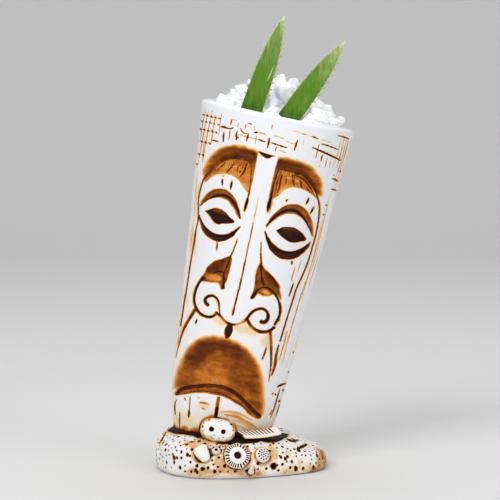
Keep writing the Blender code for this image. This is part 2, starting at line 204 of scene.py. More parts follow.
class Carving:
    """Depth (mm into the wall) and stain tone (0 clean, 1 darkest) for a set of drawing places."""

    def __init__(self, places):
        self.places = places
        self.depth = np.zeros(len(places))
        self.tone = np.zeros(len(places))
        self.wobble = noise3(np.c_[places, np.zeros(len(places))], 2.6, 5) - 0.5

    def _near(self, points, margin):
        low, high = points.min(0) - margin, points.max(0) + margin
        return np.flatnonzero(((self.places >= low) & (self.places <= high)).all(1))

    def stroke(self, points, width, depth=0.7, tone=0.95, ends="pointed", halo=0.9):
        """A cut along a smooth curve. width is its half width in the middle, ends its shape."""
        curve = curve_through(points)
        index = self._near(curve, width + halo + 0.5)
        if not len(index):
            return
        gap, share = nearest_on_curve(self.places[index], curve)
        if ends == "pointed":
            half = width * (0.28 + 0.72 * np.sin(np.pi * share) ** 0.7)
        elif ends == "tail":
            half = width * (1.0 - 0.8 * share ** 1.5)
        elif ends == "head":
            half = width * (0.2 + 0.8 * share)
        else:
            half = np.full(len(share), width)
        ratio = gap / half
        cut = depth * (1.0 - smooth(0.15, 1.25, ratio))
        stain = tone * (1.0 - smooth(0.62, 1.18, ratio))
        spread = halo * (0.75 + 1.3 * self.wobble[index])
        glow = 0.24 * min(1.0, tone) * (1.0 - smooth(0.0, 1.0, (gap - half * 0.9) / spread))
        self.depth[index] = np.maximum(self.depth[index], self.depth[index] * 0.55 + cut)
        self.tone[index] = np.maximum(self.tone[index], np.maximum(stain, glow))

    def strokes(self, rows, depth, halo=0.9):
        """A row of pointed cuts of one depth: points, half width and tone of each."""
        for points, width, tone in rows:
            self.stroke(points, width, depth, tone, halo=halo)

    def area(self, points, depth=None, tone=None, soft=0.8, sink=None, ragged=0.5):
        """Sets depth and tone inside a smooth closed outline. soft is the width of its tone's
        edge, and sink that of the slope down to its depth."""
        pts = list(points)
        curve = curve_through(pts + pts[:1])
        sink = sink or soft
        index = self._near(curve, soft + 1.0)
        if not len(index):
            return
        gap, _ = nearest_on_curve(self.places[index], curve)
        signed = np.where(inside_outline(self.places[index], curve[:-1]), gap, -gap)
        signed = signed + self.wobble[index] * ragged
        if depth is not None:
            mask = smooth(-0.3, sink, signed)
            self.depth[index] += (depth - self.depth[index]) * mask
        if tone is not None:
            mask = smooth(-soft, soft * 0.6, signed)
            self.tone[index] += (tone - self.tone[index]) * mask

    def lighten(self, points, width, tone):
        """A soft brush streak where the stain is thin."""
        curve = curve_through(points, 6)
        index = self._near(curve, width + 0.5)
        if not len(index):
            return
        gap, share = nearest_on_curve(self.places[index], curve)
        half = width * (0.3 + 0.7 * np.sin(np.pi * share)) * (1.0 + 1.2 * self.wobble[index])
        mask = 0.8 * (1.0 - smooth(0.4, 1.1, gap / np.maximum(half, 0.05)))
        self.tone[index] += (np.minimum(tone, self.tone[index]) - self.tone[index]) * mask

    def dome(self, centre, radii, height):
        """Raises the wall in an oval."""
        d = (self.places - centre) / radii
        self.depth -= height * np.clip(1.0 - (d ** 2).sum(1), 0.0, 1.0)


# ---- the drawing of the face ----

def draw_brow_hollows(c):
    """The wide hollows of the brows, their shadows and the bridge between them."""
    left = [(-4.9, 146.8), (-8, 147.9), (-15, 148.5), (-20, 147.6), (-25, 144.8), (-28.6, 140.3),
            (-30.4, 135), (-30.6, 130), (-27, 134.5), (-22, 138.5), (-15, 141.0), (-9, 141.0),
            (-6.4, 137), (-5.2, 130), (-4.9, 138)]
    right = [(5.3, 146.3), (10, 147.2), (16, 147.0), (21, 146.2), (25.3, 144.3), (28.6, 141.3),
             (30.8, 137.3), (31.8, 132), (28, 134.5), (23, 138.5), (16, 140.5), (9, 140.8),
             (7.4, 134), (7.0, 122), (6.2, 117.5), (5.3, 121), (5.2, 134)]
    c.area(left, depth=2.3, tone=0.54, soft=2.2, sink=3.2, ragged=0.8)
    c.area(right, depth=2.3, tone=0.54, soft=2.2, sink=3.2, ragged=0.8)
    for shadow in ([(-6.4, 145.6), (-12, 146), (-17, 145.2), (-22, 142.6), (-26.4, 138),
                    (-28.4, 133.6), (-24, 138.4), (-18, 141.6), (-11, 142), (-7, 141)],
                   [(6.4, 145), (13, 144.8), (19, 143.8), (24.4, 141), (28, 137), (30.4, 132.6),
                    (26, 136.6), (20, 140.2), (13, 141.2), (8, 141)]):
        c.area(shadow, tone=0.68, soft=1.4, ragged=1.0)
    bridge = [(-5.2, 148.2), (0, 148.6), (5.2, 147.6), (5.2, 140), (5.0, 128), (5.4, 114),
              (0, 112), (-5.0, 114), (-4.7, 126), (-4.9, 140)]
    c.area(bridge, depth=0.0, tone=0.0, soft=0.35, sink=0.5, ragged=0.2)


def draw_brow_bands(c):
    """The streaked orange bands under the arches."""
    c.area([(-30.2, 129), (-26.5, 135), (-22, 139), (-15, 141.4), (-9, 141.2), (-6.6, 137),
            (-5.9, 126), (-9, 127.5), (-12.5, 131), (-17, 132.6), (-22, 132.2), (-26, 130.4),
            (-29.6, 126)], depth=1.5, tone=0.37, soft=0.5, sink=0.8)
    c.area([(7.2, 124.5), (7.6, 134), (8.4, 140.5), (16, 140.4), (21.5, 138.8), (27, 134.6),
            (31.2, 129.2), (28.5, 130.9), (24, 132.9), (20, 133.4), (16, 132.8), (12.5, 130.4),
            (9.6, 126.4)], depth=1.5, tone=0.38, soft=0.5, sink=0.8)
    c.strokes((
        ([(-22, 138.5), (-23.5, 136), (-25.5, 132.8)], 0.45, 0.74),
        ([(-24.5, 137.2), (-27, 133.6), (-29.3, 130)], 0.4, 0.62),
        ([(-17, 139.2), (-18.5, 136), (-20.4, 132.8)], 0.5, 0.8),
        ([(-10.3, 140.5), (-10.8, 136), (-12.6, 132)], 0.5, 0.78),
        ([(-15, 137.6), (-14.2, 134)], 0.5, 0.56), ([(-13.2, 135.4), (-12.9, 135.0)], 0.5, 0.85),
        ([(9.8, 138.6), (9.8, 133), (9.5, 126.8)], 0.5, 0.8),
        ([(8.3, 138.2), (8.1, 133.5), (8.3, 129)], 0.35, 0.7),
        ([(15.5, 138.8), (16.8, 135.8), (18, 133.3)], 0.5, 0.78),
        ([(12.6, 138), (12.8, 133)], 0.5, 0.54),
        ([(20.7, 137.2), (21.5, 134.8), (22.4, 133.2)], 0.45, 0.8),
        ([(24.6, 134.9), (25.8, 133.2), (27, 132.2)], 0.45, 0.7)), 0.4, halo=0.6)
    for points in ([(-28.6, 128.4), (-24, 131.4), (-18.6, 132.4), (-13.4, 131.2)],
                   [(-11, 129.6), (-8, 127.6), (-6.6, 126.6)],
                   [(-24.6, 134.4), (-20.4, 136.6), (-15.4, 137.4)],
                   [(9.6, 127.6), (12.8, 131.0), (17, 133.0), (21, 133.2)],
                   [(22.6, 133.0), (26.6, 131.6), (30, 129.8)],
                   [(11.2, 136.6), (15.4, 137.4), (20.2, 136.4)]):
        c.lighten(points, 0.8, 0.26)
    rng = random.Random(3)
    for side, shift in ((-1.0, 0.0), (1.0, 1.6)):
        for number in range(20):
            p = 7.4 + 1.1 * number
            high = 141.4 - 0.022 * max(0.0, p - 8.0) ** 2
            low = high - rng.uniform(2.6, 9.0) * (1.0 - 0.025 * p)
            c.stroke([(side * p + shift * (p < 20), high), (side * (p + 0.5) + shift * (p < 20), low)],
                     rng.uniform(0.2, 0.36), 0.15, rng.uniform(0.44, 0.6), halo=0.3)


def draw_arches(c):
    """The arch lines, which run on down the sides of the face, and the cap of the nose bridge."""
    c.stroke([(-5.9, 115.5), (-5.6, 122), (-5.8, 129), (-6.8, 136), (-7.6, 140), (-10.5, 141.9),
              (-15, 141.9), (-20, 140.6), (-25, 137), (-28.6, 132.2), (-30.4, 128),
              (-31.1, 122), (-31.1, 116.5), (-30.3, 111)], 0.44, 0.7, 0.72, "even")
    c.stroke([(-9.5, 143.2), (-15, 143.2), (-21, 141.7), (-26, 138.4), (-29, 134.5)],
             0.45, 0.3, 0.74)
    c.stroke([(6.2, 118.0), (6.2, 122), (6.6, 125.5)], 0.95, 1.3, 1.0)
    c.stroke([(-5.9, 115.6), (-5.7, 119.5), (-5.6, 123)], 0.75, 1.1, 1.0)
    c.stroke([(6.6, 120), (6.4, 130), (6.9, 138), (7.8, 142)], 0.5, 0.5, 0.84)
    c.stroke([(8.0, 141.2), (13, 141.0), (18, 141.2), (21, 140.2), (25, 137.2), (28.5, 133.8),
              (31.2, 129.6), (32.8, 125), (33.5, 119), (33.7, 112), (33.3, 104), (32.6, 96),
              (31.2, 88), (29.6, 81), (28.9, 74), (28.1, 66), (27.5, 59), (27, 52)],
             0.45, 0.7, 0.72, "even")
    c.stroke([(15, 139.4), (20, 138.9), (24, 136.8), (28, 132.8)], 0.4, 0.3, 0.8)
    c.stroke([(15.8, 141.2), (17.6, 140.6), (19.8, 141.0)], 0.7, 0.6, 1.0)
    # side line of the face on the left
    c.stroke([(-30.2, 112), (-29.2, 106), (-29.2, 99), (-28.5, 89), (-28.0, 79), (-27.4, 69),
              (-27.2, 62), (-26.7, 55), (-26.4, 49)], 0.44, 0.8, 0.74, "even")
    c.area([(-5.6, 148.0), (-1, 147.4), (4.2, 147.4), (3.2, 146.9), (0.2, 145.3), (-3.0, 146.4)],
           depth=1.2, tone=0.97, soft=0.35)


def draw_eye(c, centre, upper, lower, slit):
    """One eye: an upper and a lower crescent cut round a domed ball, and the slit."""
    c.area(upper, depth=1.7, tone=0.5, soft=0.6, sink=1.0)
    c.area(lower, depth=1.8, tone=0.84, soft=0.45, sink=0.8)
    c.dome(centre, (12.5, 9.0), 0.7)
    c.area(slit, depth=1.5, tone=0.93, soft=0.35, sink=1.1)


def draw_eyes(c):
    draw_eye(c, (-18.5, 109.95),
             [(-30.1, 113.4), (-28.6, 117.8), (-25.8, 121.8), (-22.6, 124.0), (-19.5, 124.5),
              (-16, 123.8), (-12.8, 121.6), (-9.9, 117.8), (-8, 114.2), (-7.1, 110.9),
              (-9.6, 113.1), (-12.2, 116.2), (-15.4, 118.7), (-19, 119.7), (-22.2, 119.3),
              (-25.2, 117.7), (-27.8, 115.2)],
             [(-29.3, 108.6), (-28, 104.8), (-26, 101.4), (-23.3, 98.7), (-20, 97.1),
              (-16, 96.9), (-12.4, 98.2), (-9.5, 100.8), (-7.6, 103.8), (-6.5, 106.8),
              (-8.7, 104.4), (-11.5, 102), (-14.6, 100.8), (-18, 100.5), (-21.5, 101.2),
              (-24.6, 103.1), (-27, 105.8)],
             [(-26.4, 111.1), (-22.6, 113.2), (-19, 113.7), (-15.4, 112.5), (-12.6, 110.5),
              (-10.1, 108.5), (-14, 106.9), (-18.5, 106.0), (-21.3, 107.3), (-24, 109.5)])
    draw_eye(c, (19.65, 109.15),
             [(6.8, 110.4), (8.5, 114.6), (11, 118.6), (14, 121.9), (17, 123.8), (20.5, 124.5),
              (24, 123.9), (27, 121.8), (29.6, 118.8), (31.4, 115), (32.4, 109.8),
              (30, 112.9), (27, 116.4), (23.6, 118.8), (20, 119.5), (16, 118.6), (13, 116.4),
              (10, 113.1), (7.6, 109.8)],
             [(7.0, 107.2), (8.3, 103.4), (10.6, 99.8), (13.6, 96.9), (17, 95.2), (21, 94.9),
              (25, 96.0), (28, 98.4), (30.6, 102.2), (32.0, 107.0), (29.9, 104.5), (27.5, 102.1),
              (24, 99.9), (20, 99.0), (16, 99.8), (12.5, 101.6), (9.5, 104.1)],
             [(12.6, 109.0), (16, 111.2), (20.5, 112.3), (24, 111.6), (27, 109.8), (28.9, 107.5),
              (26, 105.7), (23, 104.7), (19.8, 104.8), (16, 106.4)])


def draw_eye_lines(c):
    """The darkest lines of the crescents, the shores of the slits, and cuts round the eyes."""
    c.stroke([(-29.6, 113.2), (-27.4, 116.4), (-24, 119.6), (-19.5, 121.0), (-14.8, 119.9),
              (-11, 116.4), (-8.6, 113.4), (-7.6, 111.3)], 0.85, 0.5, 0.97, halo=0.4)
    c.stroke([(7.2, 110.3), (9.7, 114.1), (13, 117.9), (17, 120.4), (21, 121.0), (25.2, 119.2),
              (28.6, 115.8), (31.0, 112.4), (32.0, 110.2)], 0.9, 0.5, 0.97, halo=0.4)
    c.stroke([(-28.9, 108.3), (-26.6, 103.9), (-23.2, 101.2), (-18.4, 99.8), (-13.8, 100.3),
              (-10.2, 102.4), (-7.2, 106.0)], 0.7, 0.4, 1.0, halo=0.3)
    c.stroke([(7.4, 106.8), (9.8, 102.8), (13.4, 99.8), (18, 98.1), (22, 98.3), (26.5, 100.3),
              (29.6, 103.4), (31.6, 106.6)], 0.7, 0.4, 1.0, halo=0.3)
    # the brown upper shore of each slit
    c.area([(-25.4, 111.4), (-22.4, 112.9), (-19, 113.4), (-15.6, 112.2), (-13.4, 110.8),
            (-17, 111.3), (-21, 111.6)], depth=0.9, tone=0.62, soft=0.4)
    c.area([(14.6, 110.0), (17, 111.2), (20.5, 111.9), (24, 111.2), (26.4, 109.9), (22, 110.3),
            (18, 110.3)], depth=0.9, tone=0.64, soft=0.4)
    # cuts in the lids and cracks under the eyes
    c.strokes((
        ([(-20.8, 129.6), (-20.6, 128), (-20.1, 126.4)], 0.5, 1.0),
        ([(-15.6, 129.6), (-15.6, 127.4), (-15.4, 125.0)], 0.55, 1.0),
        ([(-20.6, 132), (-20.7, 130.5)], 0.35, 0.3), ([(15.2, 126.4), (14.8, 125.0)], 0.45, 0.85),
        ([(26.1, 129.2), (25.8, 127.4), (25.3, 125.6)], 0.5, 1.0),
        ([(29.6, 125.4), (29.2, 123.4), (28.6, 121.5)], 0.5, 1.0),
        ([(-17.0, 97.0), (-16.4, 94.6), (-16.0, 91.8)], 0.5, 0.6),
        ([(24.2, 94.9), (24.4, 94.0), (24.6, 93.0)], 0.5, 0.95)), 0.6)


def draw_nose(c):
    """The ridge line, the two nostril hollows and their folds."""
    c.stroke([(0, 124), (0, 119), (0, 114)], 0.4, 0.3, 0.3, "head")
    c.stroke([(0, 115.5), (0, 108), (0, 95), (0, 80), (-0.3, 70), (-0.6, 60.4)],
             0.55, 0.8, 0.76, "head", halo=0.7)
    c.area([(-8.6, 90.8), (-12, 88.4), (-16, 86.0), (-18.5, 82.6), (-19.8, 79), (-21, 74.9),
            (-17, 74.9), (-12, 75.4), (-10.2, 74), (-9.4, 72.6), (-8.1, 72.9), (-7.7, 76),
            (-7.2, 80), (-7.0, 85), (-7.3, 89.5)], depth=2.0, tone=0.56, soft=0.6, sink=1.8)
    c.area([(8.3, 91.2), (10.8, 88.0), (15, 85.2), (19, 82.2), (21.2, 78.5), (22.9, 73.5),
            (19.5, 75.8), (16, 74.3), (13, 73.7), (10.2, 73.8), (8.6, 71.0), (7.0, 71.2),
            (7.7, 75.5), (7.3, 80), (7.1, 86)], depth=2.0, tone=0.54, soft=0.6, sink=1.8)
    # lighter floors and dark folds of the nostril hollows
    c.area([(-19.2, 78.4), (-15, 79.2), (-11.8, 78.2), (-11.6, 76.4), (-15, 75.9), (-19.4, 76)],
           tone=0.34, soft=0.7)
    c.area([(11.6, 75.6), (14, 76.6), (16.6, 75.4), (14, 74.5)], tone=0.3, soft=0.6)
    c.area([(-18.6, 82), (-14.6, 85.6), (-11.4, 87.4), (-11.6, 84.4), (-14, 81.6), (-18, 80)],
           tone=0.66, soft=1.2)
    c.area([(12, 86.4), (17, 83.4), (20.4, 79.6), (19, 79), (15, 81.4), (12.4, 84)],
           tone=0.64, soft=1.2)
    for points, width, tone, ends in (
            ([(-6.4, 100.2), (-6.9, 96), (-7.7, 92), (-8.7, 88), (-9.6, 84)], 0.62, 0.93, "head"),
            ([(-9.6, 84), (-10.4, 81), (-9.8, 77.5), (-8.6, 73.4)], 1.0, 0.93, "head"),
            ([(-10.6, 80.8), (-13.6, 81.0), (-16.6, 79.0)], 0.65, 0.84, "pointed"),
            ([(6.2, 101.2), (6.8, 98), (7.7, 93.6), (9.0, 89), (10.4, 84)], 0.65, 0.93, "head"),
            ([(10.4, 84), (11.4, 81.4), (13.2, 78.6)], 0.8, 0.9, "pointed"),
            ([(13.0, 78.2), (10.6, 76.2), (9.0, 74), (7.6, 71.4)], 0.95, 0.97, "head"),
            ([(12.0, 77.6), (15.4, 77.8), (18.6, 76.2), (21.2, 73.4), (22.8, 70.4)], 0.7, 0.93,
             "pointed"),
            ([(13.4, 85.6), (17.4, 82.8), (20.2, 79.4)], 0.5, 0.86, "pointed")):
        c.stroke(points, width, 0.7, tone, ends)


def draw_scrolls(c):
    """The scrolls, the tip between them, and the drop and blush under it."""
    c.dome((-15.5, 65.5), (7.5, 9.5), 0.6)
    c.dome((15.5, 64.5), (8.5, 10.5), 0.6)
    c.dome((0, 62.0), (8.0, 9.0), 0.5)
    for points, width, ends in (
            ([(-20.3, 76.2), (-21.6, 73.2), (-22.4, 70), (-22.6, 66), (-21.9, 62.6),
              (-20.4, 60), (-18.4, 57.9), (-15.8, 56.7), (-13.2, 56.5), (-10.8, 57.3),
              (-9.0, 59.2)], 0.8, "even"),
            ([(-6.6, 58.2), (-7.8, 60.6), (-8.6, 63.4), (-9.6, 65.8), (-11.2, 67.4),
              (-13.3, 67.9), (-15.4, 67.1), (-16.5, 65.4), (-15.9, 63.7), (-14.6, 62.8)],
             1.0, "head"),
            ([(-9.4, 59.6), (-6.8, 58.2), (-4.6, 56.4), (-2, 55.4), (1, 55.2), (4, 56.1),
              (6.0, 58.0), (7.4, 60.2), (8.6, 62.8), (10.2, 64.9), (12.4, 66.3), (14.9, 66.7),
              (17.1, 65.4), (18.1, 63.0), (17.7, 61.0), (16.4, 59.8), (15.2, 59.8)],
             0.75, "even"),
            ([(17.8, 64.2), (18.1, 62.4), (17.4, 60.6), (16.2, 59.8), (15.1, 59.9)], 1.05, "even"),
            ([(22.6, 71.5), (23.5, 68.6), (23.8, 65.4), (23.3, 62.8), (22.4, 60.2)], 0.75, "even"),
            ([(7.7, 59.3), (9.5, 57.1), (12, 55.4), (15, 54.6), (18, 54.9), (20.4, 56.1),
              (22.2, 58.2)], 0.9, "even"),
            ([(23.2, 63.0), (23.8, 62.7)], 0.7, "even")):
        c.stroke(points, width, 0.9, 0.88, ends, halo=0.9)
    # the drop under the tip
    c.area([(-1.0, 56), (-2.6, 53.4), (-2.9, 50.6), (-1.8, 48.0), (-0.6, 47.7), (0.7, 49.6),
            (1.0, 52.2), (0.3, 54.6)], depth=1.3, tone=0.97, soft=0.4, ragged=0.3)
    # warm blush under the scrolls
    for points in ([(-9.5, 58.6), (-6.5, 57), (-3.2, 54.4), (-6, 53.6), (-9.6, 55.6)],
                   [(2.5, 54.6), (6.5, 58), (9.4, 55.4), (13.5, 53), (9, 51.8), (3, 53)],
                   [(19, 54.2), (21, 54.5), (22, 50), (22.5, 46), (20, 47), (17, 50.5)]):
        c.area(points, tone=0.16, soft=2.4, ragged=2.0)


def draw_mouth(c):
    """The arched mouth: a deep stained hollow whose tone varies in patches."""
    c.area([(-22.6, 16.5), (-22.4, 25), (-21.1, 31), (-19.2, 37), (-16.5, 41.3), (-13, 44.3),
            (-8, 46.1), (-2, 46.6), (5, 45.4), (10, 43.3), (15, 39.8), (18.2, 35.8),
            (20.8, 31), (22.7, 25), (24.0, 20), (25.2, 12.5), (20, 14), (12, 18.5), (3, 20.6),
            (-6, 20), (-15, 17.6)], depth=2.6, tone=0.55, soft=3.4, sink=5.0, ragged=0.3)
    for points, tone in (
            ([(-17, 38), (-12, 43), (-7, 44), (-9, 38), (-12, 32), (-16, 27), (-19, 31)], 0.68),
            ([(-3, 44.5), (3, 44), (9, 41), (12, 35), (5, 37), (0, 39)], 0.66),
            ([(-7, 37), (-2, 36), (4, 31), (2, 25), (-8, 24.5), (-13, 25)], 0.47),
            ([(-19, 24), (-12, 27), (-4, 27), (4, 25.6), (4, 23.4), (-6, 23), (-16, 20.4)], 0.45),
            ([(10, 30), (15, 27), (19, 20), (21, 15.6), (15, 20), (9, 24)], 0.46),
            ([(-2, 40), (2, 38), (4, 33), (0, 34)], 0.6),
            ([(8, 34), (14, 31), (18, 25), (14, 22), (8, 25)], 0.56)):
        c.area(points, tone=tone, soft=4.4, ragged=1.2)
    c.area([(-23, 11.6), (-14, 14.8), (-8, 16.4), (-3, 16.7), (4, 16.8), (9, 15.5), (14, 13.6),
            (19, 10.6), (25, 8.8), (27, 3), (0, 1), (-23, 3)], depth=0.0, tone=0.0, soft=0.4,
           sink=0.8)


def draw_lip(c):
    """The lip, a round groove over an orange roll, and the folds beside the mouth."""
    c.area([(-21.6, 14.6), (-16, 16.6), (-9, 18.8), (-2, 20.0), (4, 20.2), (10, 18.2),
            (16, 15.0), (21, 12.2), (25.4, 10.8), (24.2, 9.2), (19, 10.6), (14, 13.6),
            (9, 15.5), (4, 16.8), (-3, 16.9), (-8, 16.6), (-14, 14.9), (-20, 12.6)],
           depth=0.5, tone=0.5, soft=0.5, sink=0.9)
    c.stroke([(-21.2, 13.4), (-19.6, 15.8), (-16, 17.7), (-10, 19.7), (-4, 21.0), (1, 21.5),
              (6, 20.9), (11, 19.0), (16, 16.1), (21, 12.8), (24.9, 10.6)],
             1.25, 2.0, 0.72, "even", halo=1.2)
    c.stroke([(-19.6, 17.4), (-16, 19.2), (-10, 21.2), (-4, 22.4), (1, 22.9), (6, 22.4),
              (11, 20.6), (16, 17.8), (21, 14.6)], 0.4, 0.0, 0.46, "pointed", halo=0.8)
    c.stroke([(-15, 15.6), (-9, 17.2), (-3, 18.0), (3, 18.0), (8, 16.7), (14, 14.4),
              (20, 11.2)], 0.4, 0.3, 0.82, halo=0.4)
    c.stroke([(-20.6, 59.4), (-21.8, 56), (-23.4, 51.5), (-24.5, 47.6), (-25.1, 43),
              (-25.4, 38), (-25.4, 32)], 1.0, 1.0, 0.64, "tail", halo=1.8)
    c.stroke([(20.8, 55.8), (21.9, 52), (23.3, 46.6), (24.5, 41), (25.2, 36), (25.6, 30)],
             0.9, 1.0, 0.68, "tail", halo=2.2)
    c.stroke([(26.6, 50), (26.4, 44), (26.9, 39), (26.4, 33)], 0.9, 0.3, 0.6)
    c.stroke([(-18.7, 54.0), (-18.8, 51.6)], 0.5, 0.5, 0.95)
    c.stroke([(20.6, 49.5), (20.3, 44.5), (19.6, 40.2)], 0.42, 0.6, 0.9)


def draw_chin(c):
    """Brushed stain on the chin, a painted shadow ring round the bead, and cracks."""
    c.strokes((
        ([(3.5, 8.6), (9, 9.8), (15, 9.6), (21, 7.8)], 0.9, 0.26),
        ([(6, 7.6), (12, 8.0), (18, 6.6), (24, 4.6)], 1.1, 0.33),
        ([(10, 6.2), (16, 5.4), (22, 4.0), (29, 4.4)], 0.9, 0.24),
        ([(13.6, 3.8), (20, 2.2), (27, 2.0), (32, 3.4)], 1.0, 0.22),
        ([(14.4, 1.0), (20, -0.2), (28, 0.4)], 0.9, 0.2)), 0.0, halo=1.6)
    c.area([(-20, 3.4), (-12, 4.6), (-8, 2.0), (-9, -3), (-20, -3)], tone=0.13, soft=2.4, ragged=3.0)
    c.area([(16, 1.0), (24, 2.4), (33, 4.4), (34, -1), (16, -4)], tone=0.16, soft=2.4, ragged=3.0)
    # painted shadow of the bead: a dark ring on the wall close round its outline, and a softer band
    # outside it
    c.stroke([(-5.2, -3.0), (-4.8, 0.6), (-2.4, 3.4), (2.2, 4.9), (7.6, 4.4), (11.4, 2.2),
              (13.2, -1.5)], 0.6, 0.5, 0.95, "even", halo=1.6)
    c.area([(-5.6, 1.2), (-2.8, 4.6), (2.2, 6.4), (8.2, 6.0), (12.8, 3.4), (14.2, 0.6),
            (11, 3.0), (7.4, 5.0), (2.4, 5.4), (-2.2, 3.8)], tone=0.36, soft=1.2, ragged=1.4)
    c.area([(-9, 12.2), (-3, 12.3), (-1.6, 10.6), (-4, 8.0), (-8, 8.4)], tone=0.14, soft=1.2)
    c.stroke([(1.4, 15.6), (1.5, 12), (1.7, 9)], 1.0, 0.5, 0.55, "even")
    c.stroke([(1.6, 10), (1.8, 7.6), (1.9, 5.2)], 1.0, 0.9, 0.93, "even")
    c.strokes((
        ([(-13.6, 13.5), (-13.1, 9.6), (-12.6, 6)], 0.35, 0.6),
        ([(-12.8, 6.4), (-12.4, 4.4), (-12.2, 2.2)], 0.6, 0.96),
        ([(-17.4, 4), (-16.6, 0), (-15.8, -5)], 0.35, 0.85), ([(-16.4, 12), (-15.6, 10.8)], 0.5, 0.5),
        ([(-8.4, 11.2), (-5.4, 11.4), (-3.0, 11.1)], 0.45, 0.5),
        ([(-6.4, 8.4), (-4.4, 8.1)], 0.45, 0.45), ([(-9.8, 13.4), (-8.6, 13.6)], 0.35, 0.4),
        ([(-20.2, 10.5), (-20.8, 7.5), (-19.4, 2)], 0.5, 0.66)), 0.5)


def draw_flanks(c):
    """Small cuts and long faint lines beside the face."""
    c.strokes((
        ([(30.6, 28.0), (32.6, 29.4), (34.8, 30.6)], 0.55, 1.0),
        ([(33.6, 27.0), (34.4, 26.8)], 0.6, 0.95), ([(30.2, 24.0), (30.9, 23.7)], 0.6, 0.95),
        ([(32.8, 20.9), (33.8, 20.7)], 0.65, 0.98), ([(29.2, 24.4), (28.8, 23.4)], 0.45, 0.7),
        ([(32.2, 27), (31.8, 22), (31.5, 17), (30.6, 11)], 0.4, 0.75),
        ([(33.9, 19.4), (33.7, 16), (33.3, 12.4)], 0.35, 0.7), ([(30.6, 15.5), (29.8, 12)], 0.45, 0.4),
        ([(34.9, 48), (35.3, 47)], 0.4, 0.7), ([(34.6, 37), (35.2, 36.6)], 0.5, 0.6),
        ([(26.6, 92), (26.2, 86), (27.0, 84)], 0.4, 0.35),
        ([(27.4, 83.5), (27.0, 79.5), (26.5, 76)], 0.45, 0.85), ([(29.0, 96), (28.6, 90)], 0.3, 0.3),
        ([(35.5, 120), (35.2, 104), (34.4, 90), (33.2, 76)], 0.3, 0.35),
        ([(36.6, 133), (36.4, 118), (35.8, 103)], 0.3, 0.3),
        ([(33.4, 86), (32.2, 72), (31.4, 60), (31.2, 52)], 0.3, 0.4),
        ([(29.4, 58), (29.2, 50), (28.6, 42)], 0.4, 0.4),
        ([(30.8, 56), (30.8, 48), (30.4, 40)], 0.3, 0.3),
        ([(-31.6, 58), (-30.6, 46), (-29.4, 34)], 0.3, 0.4)), 0.45, halo=0.7)


def scratch_weave(c, rows):
    """Fine woven scratches: points, half width and tone of each."""
    for points, width, tone in rows:
        c.stroke(points, 0.78 * width, 0.45, 0.94 * tone, halo=0.6)


def draw_level_weave(c):
    """The level marks scratched under the rim."""
    scratch_weave(c, (
        ([(-27.6, 156.7), (-25.4, 156.6), (-23.4, 156.4)], 0.6, 1.0),
        ([(-23.4, 156.4), (-22.2, 156.6), (-21.0, 157.3)], 0.45, 0.85),
        ([(-17.2, 157.8), (-15.8, 156.4), (-14.4, 155.8), (-12.6, 156.0)], 0.4, 0.75),
        ([(-9.6, 157.2), (-8.6, 157.4), (-7.6, 157.8)], 0.65, 1.0),
        ([(-7.6, 157.8), (-5, 157.7), (-2.6, 157.3)], 0.35, 0.5),
        ([(0, 157.5), (3, 157.6), (6.5, 157.3)], 0.35, 0.34),
        ([(-17, 154.6), (-13, 154.1), (-8.2, 154)], 0.35, 0.4),
        ([(-6.8, 154.1), (-4.6, 153.8), (-2.6, 153.5)], 0.45, 0.88),
        ([(0.4, 153.8), (4.5, 153.3), (9.2, 152.9)], 0.45, 0.88),
        ([(5.4, 150.8), (9.2, 150.3)], 0.35, 0.4), ([(8.0, 156.1), (13.2, 155.5)], 0.3, 0.3),
        ([(9.5, 162.5), (15, 162.0), (20, 161.5)], 0.35, 0.2), ([(15.6, 162), (18.6, 161.6)], 0.4, 0.4),
        ([(21, 161.5), (24.2, 161.1)], 0.45, 0.72), ([(25.5, 160.9), (32, 160.4)], 0.3, 0.25),
        ([(26.2, 158.9), (31, 158.4), (36.6, 157.6)], 0.45, 0.86),
        ([(22.4, 155.9), (28, 154.8), (33, 153.7), (38.6, 152.3)], 0.62, 1.0),
        ([(34.4, 164.9), (37.6, 164.8), (40.6, 164.3)], 0.5, 0.8),
        ([(-30.8, 148.7), (-28.8, 148.6), (-26.6, 148.3)], 0.45, 0.95),
        ([(-13.6, 161.2), (-11.4, 161.2)], 0.45, 0.66), ([(-23, 161.5), (-19.4, 161.5)], 0.35, 0.25),
        ([(36.0, 142.0), (37.8, 141.8), (39.8, 141.0)], 0.5, 0.95),
        ([(36.6, 136.6), (38, 136.4), (39.6, 136.2)], 0.5, 0.95),
        ([(36.5, 144.2), (36.9, 143.8)], 0.5, 0.8), ([(39.2, 146.9), (39.9, 146.6)], 0.5, 0.8),
        ([(35.4, 127.6), (36.6, 127.4)], 0.45, 0.7), ([(35.0, 122.4), (36.2, 122.2)], 0.45, 0.7)))


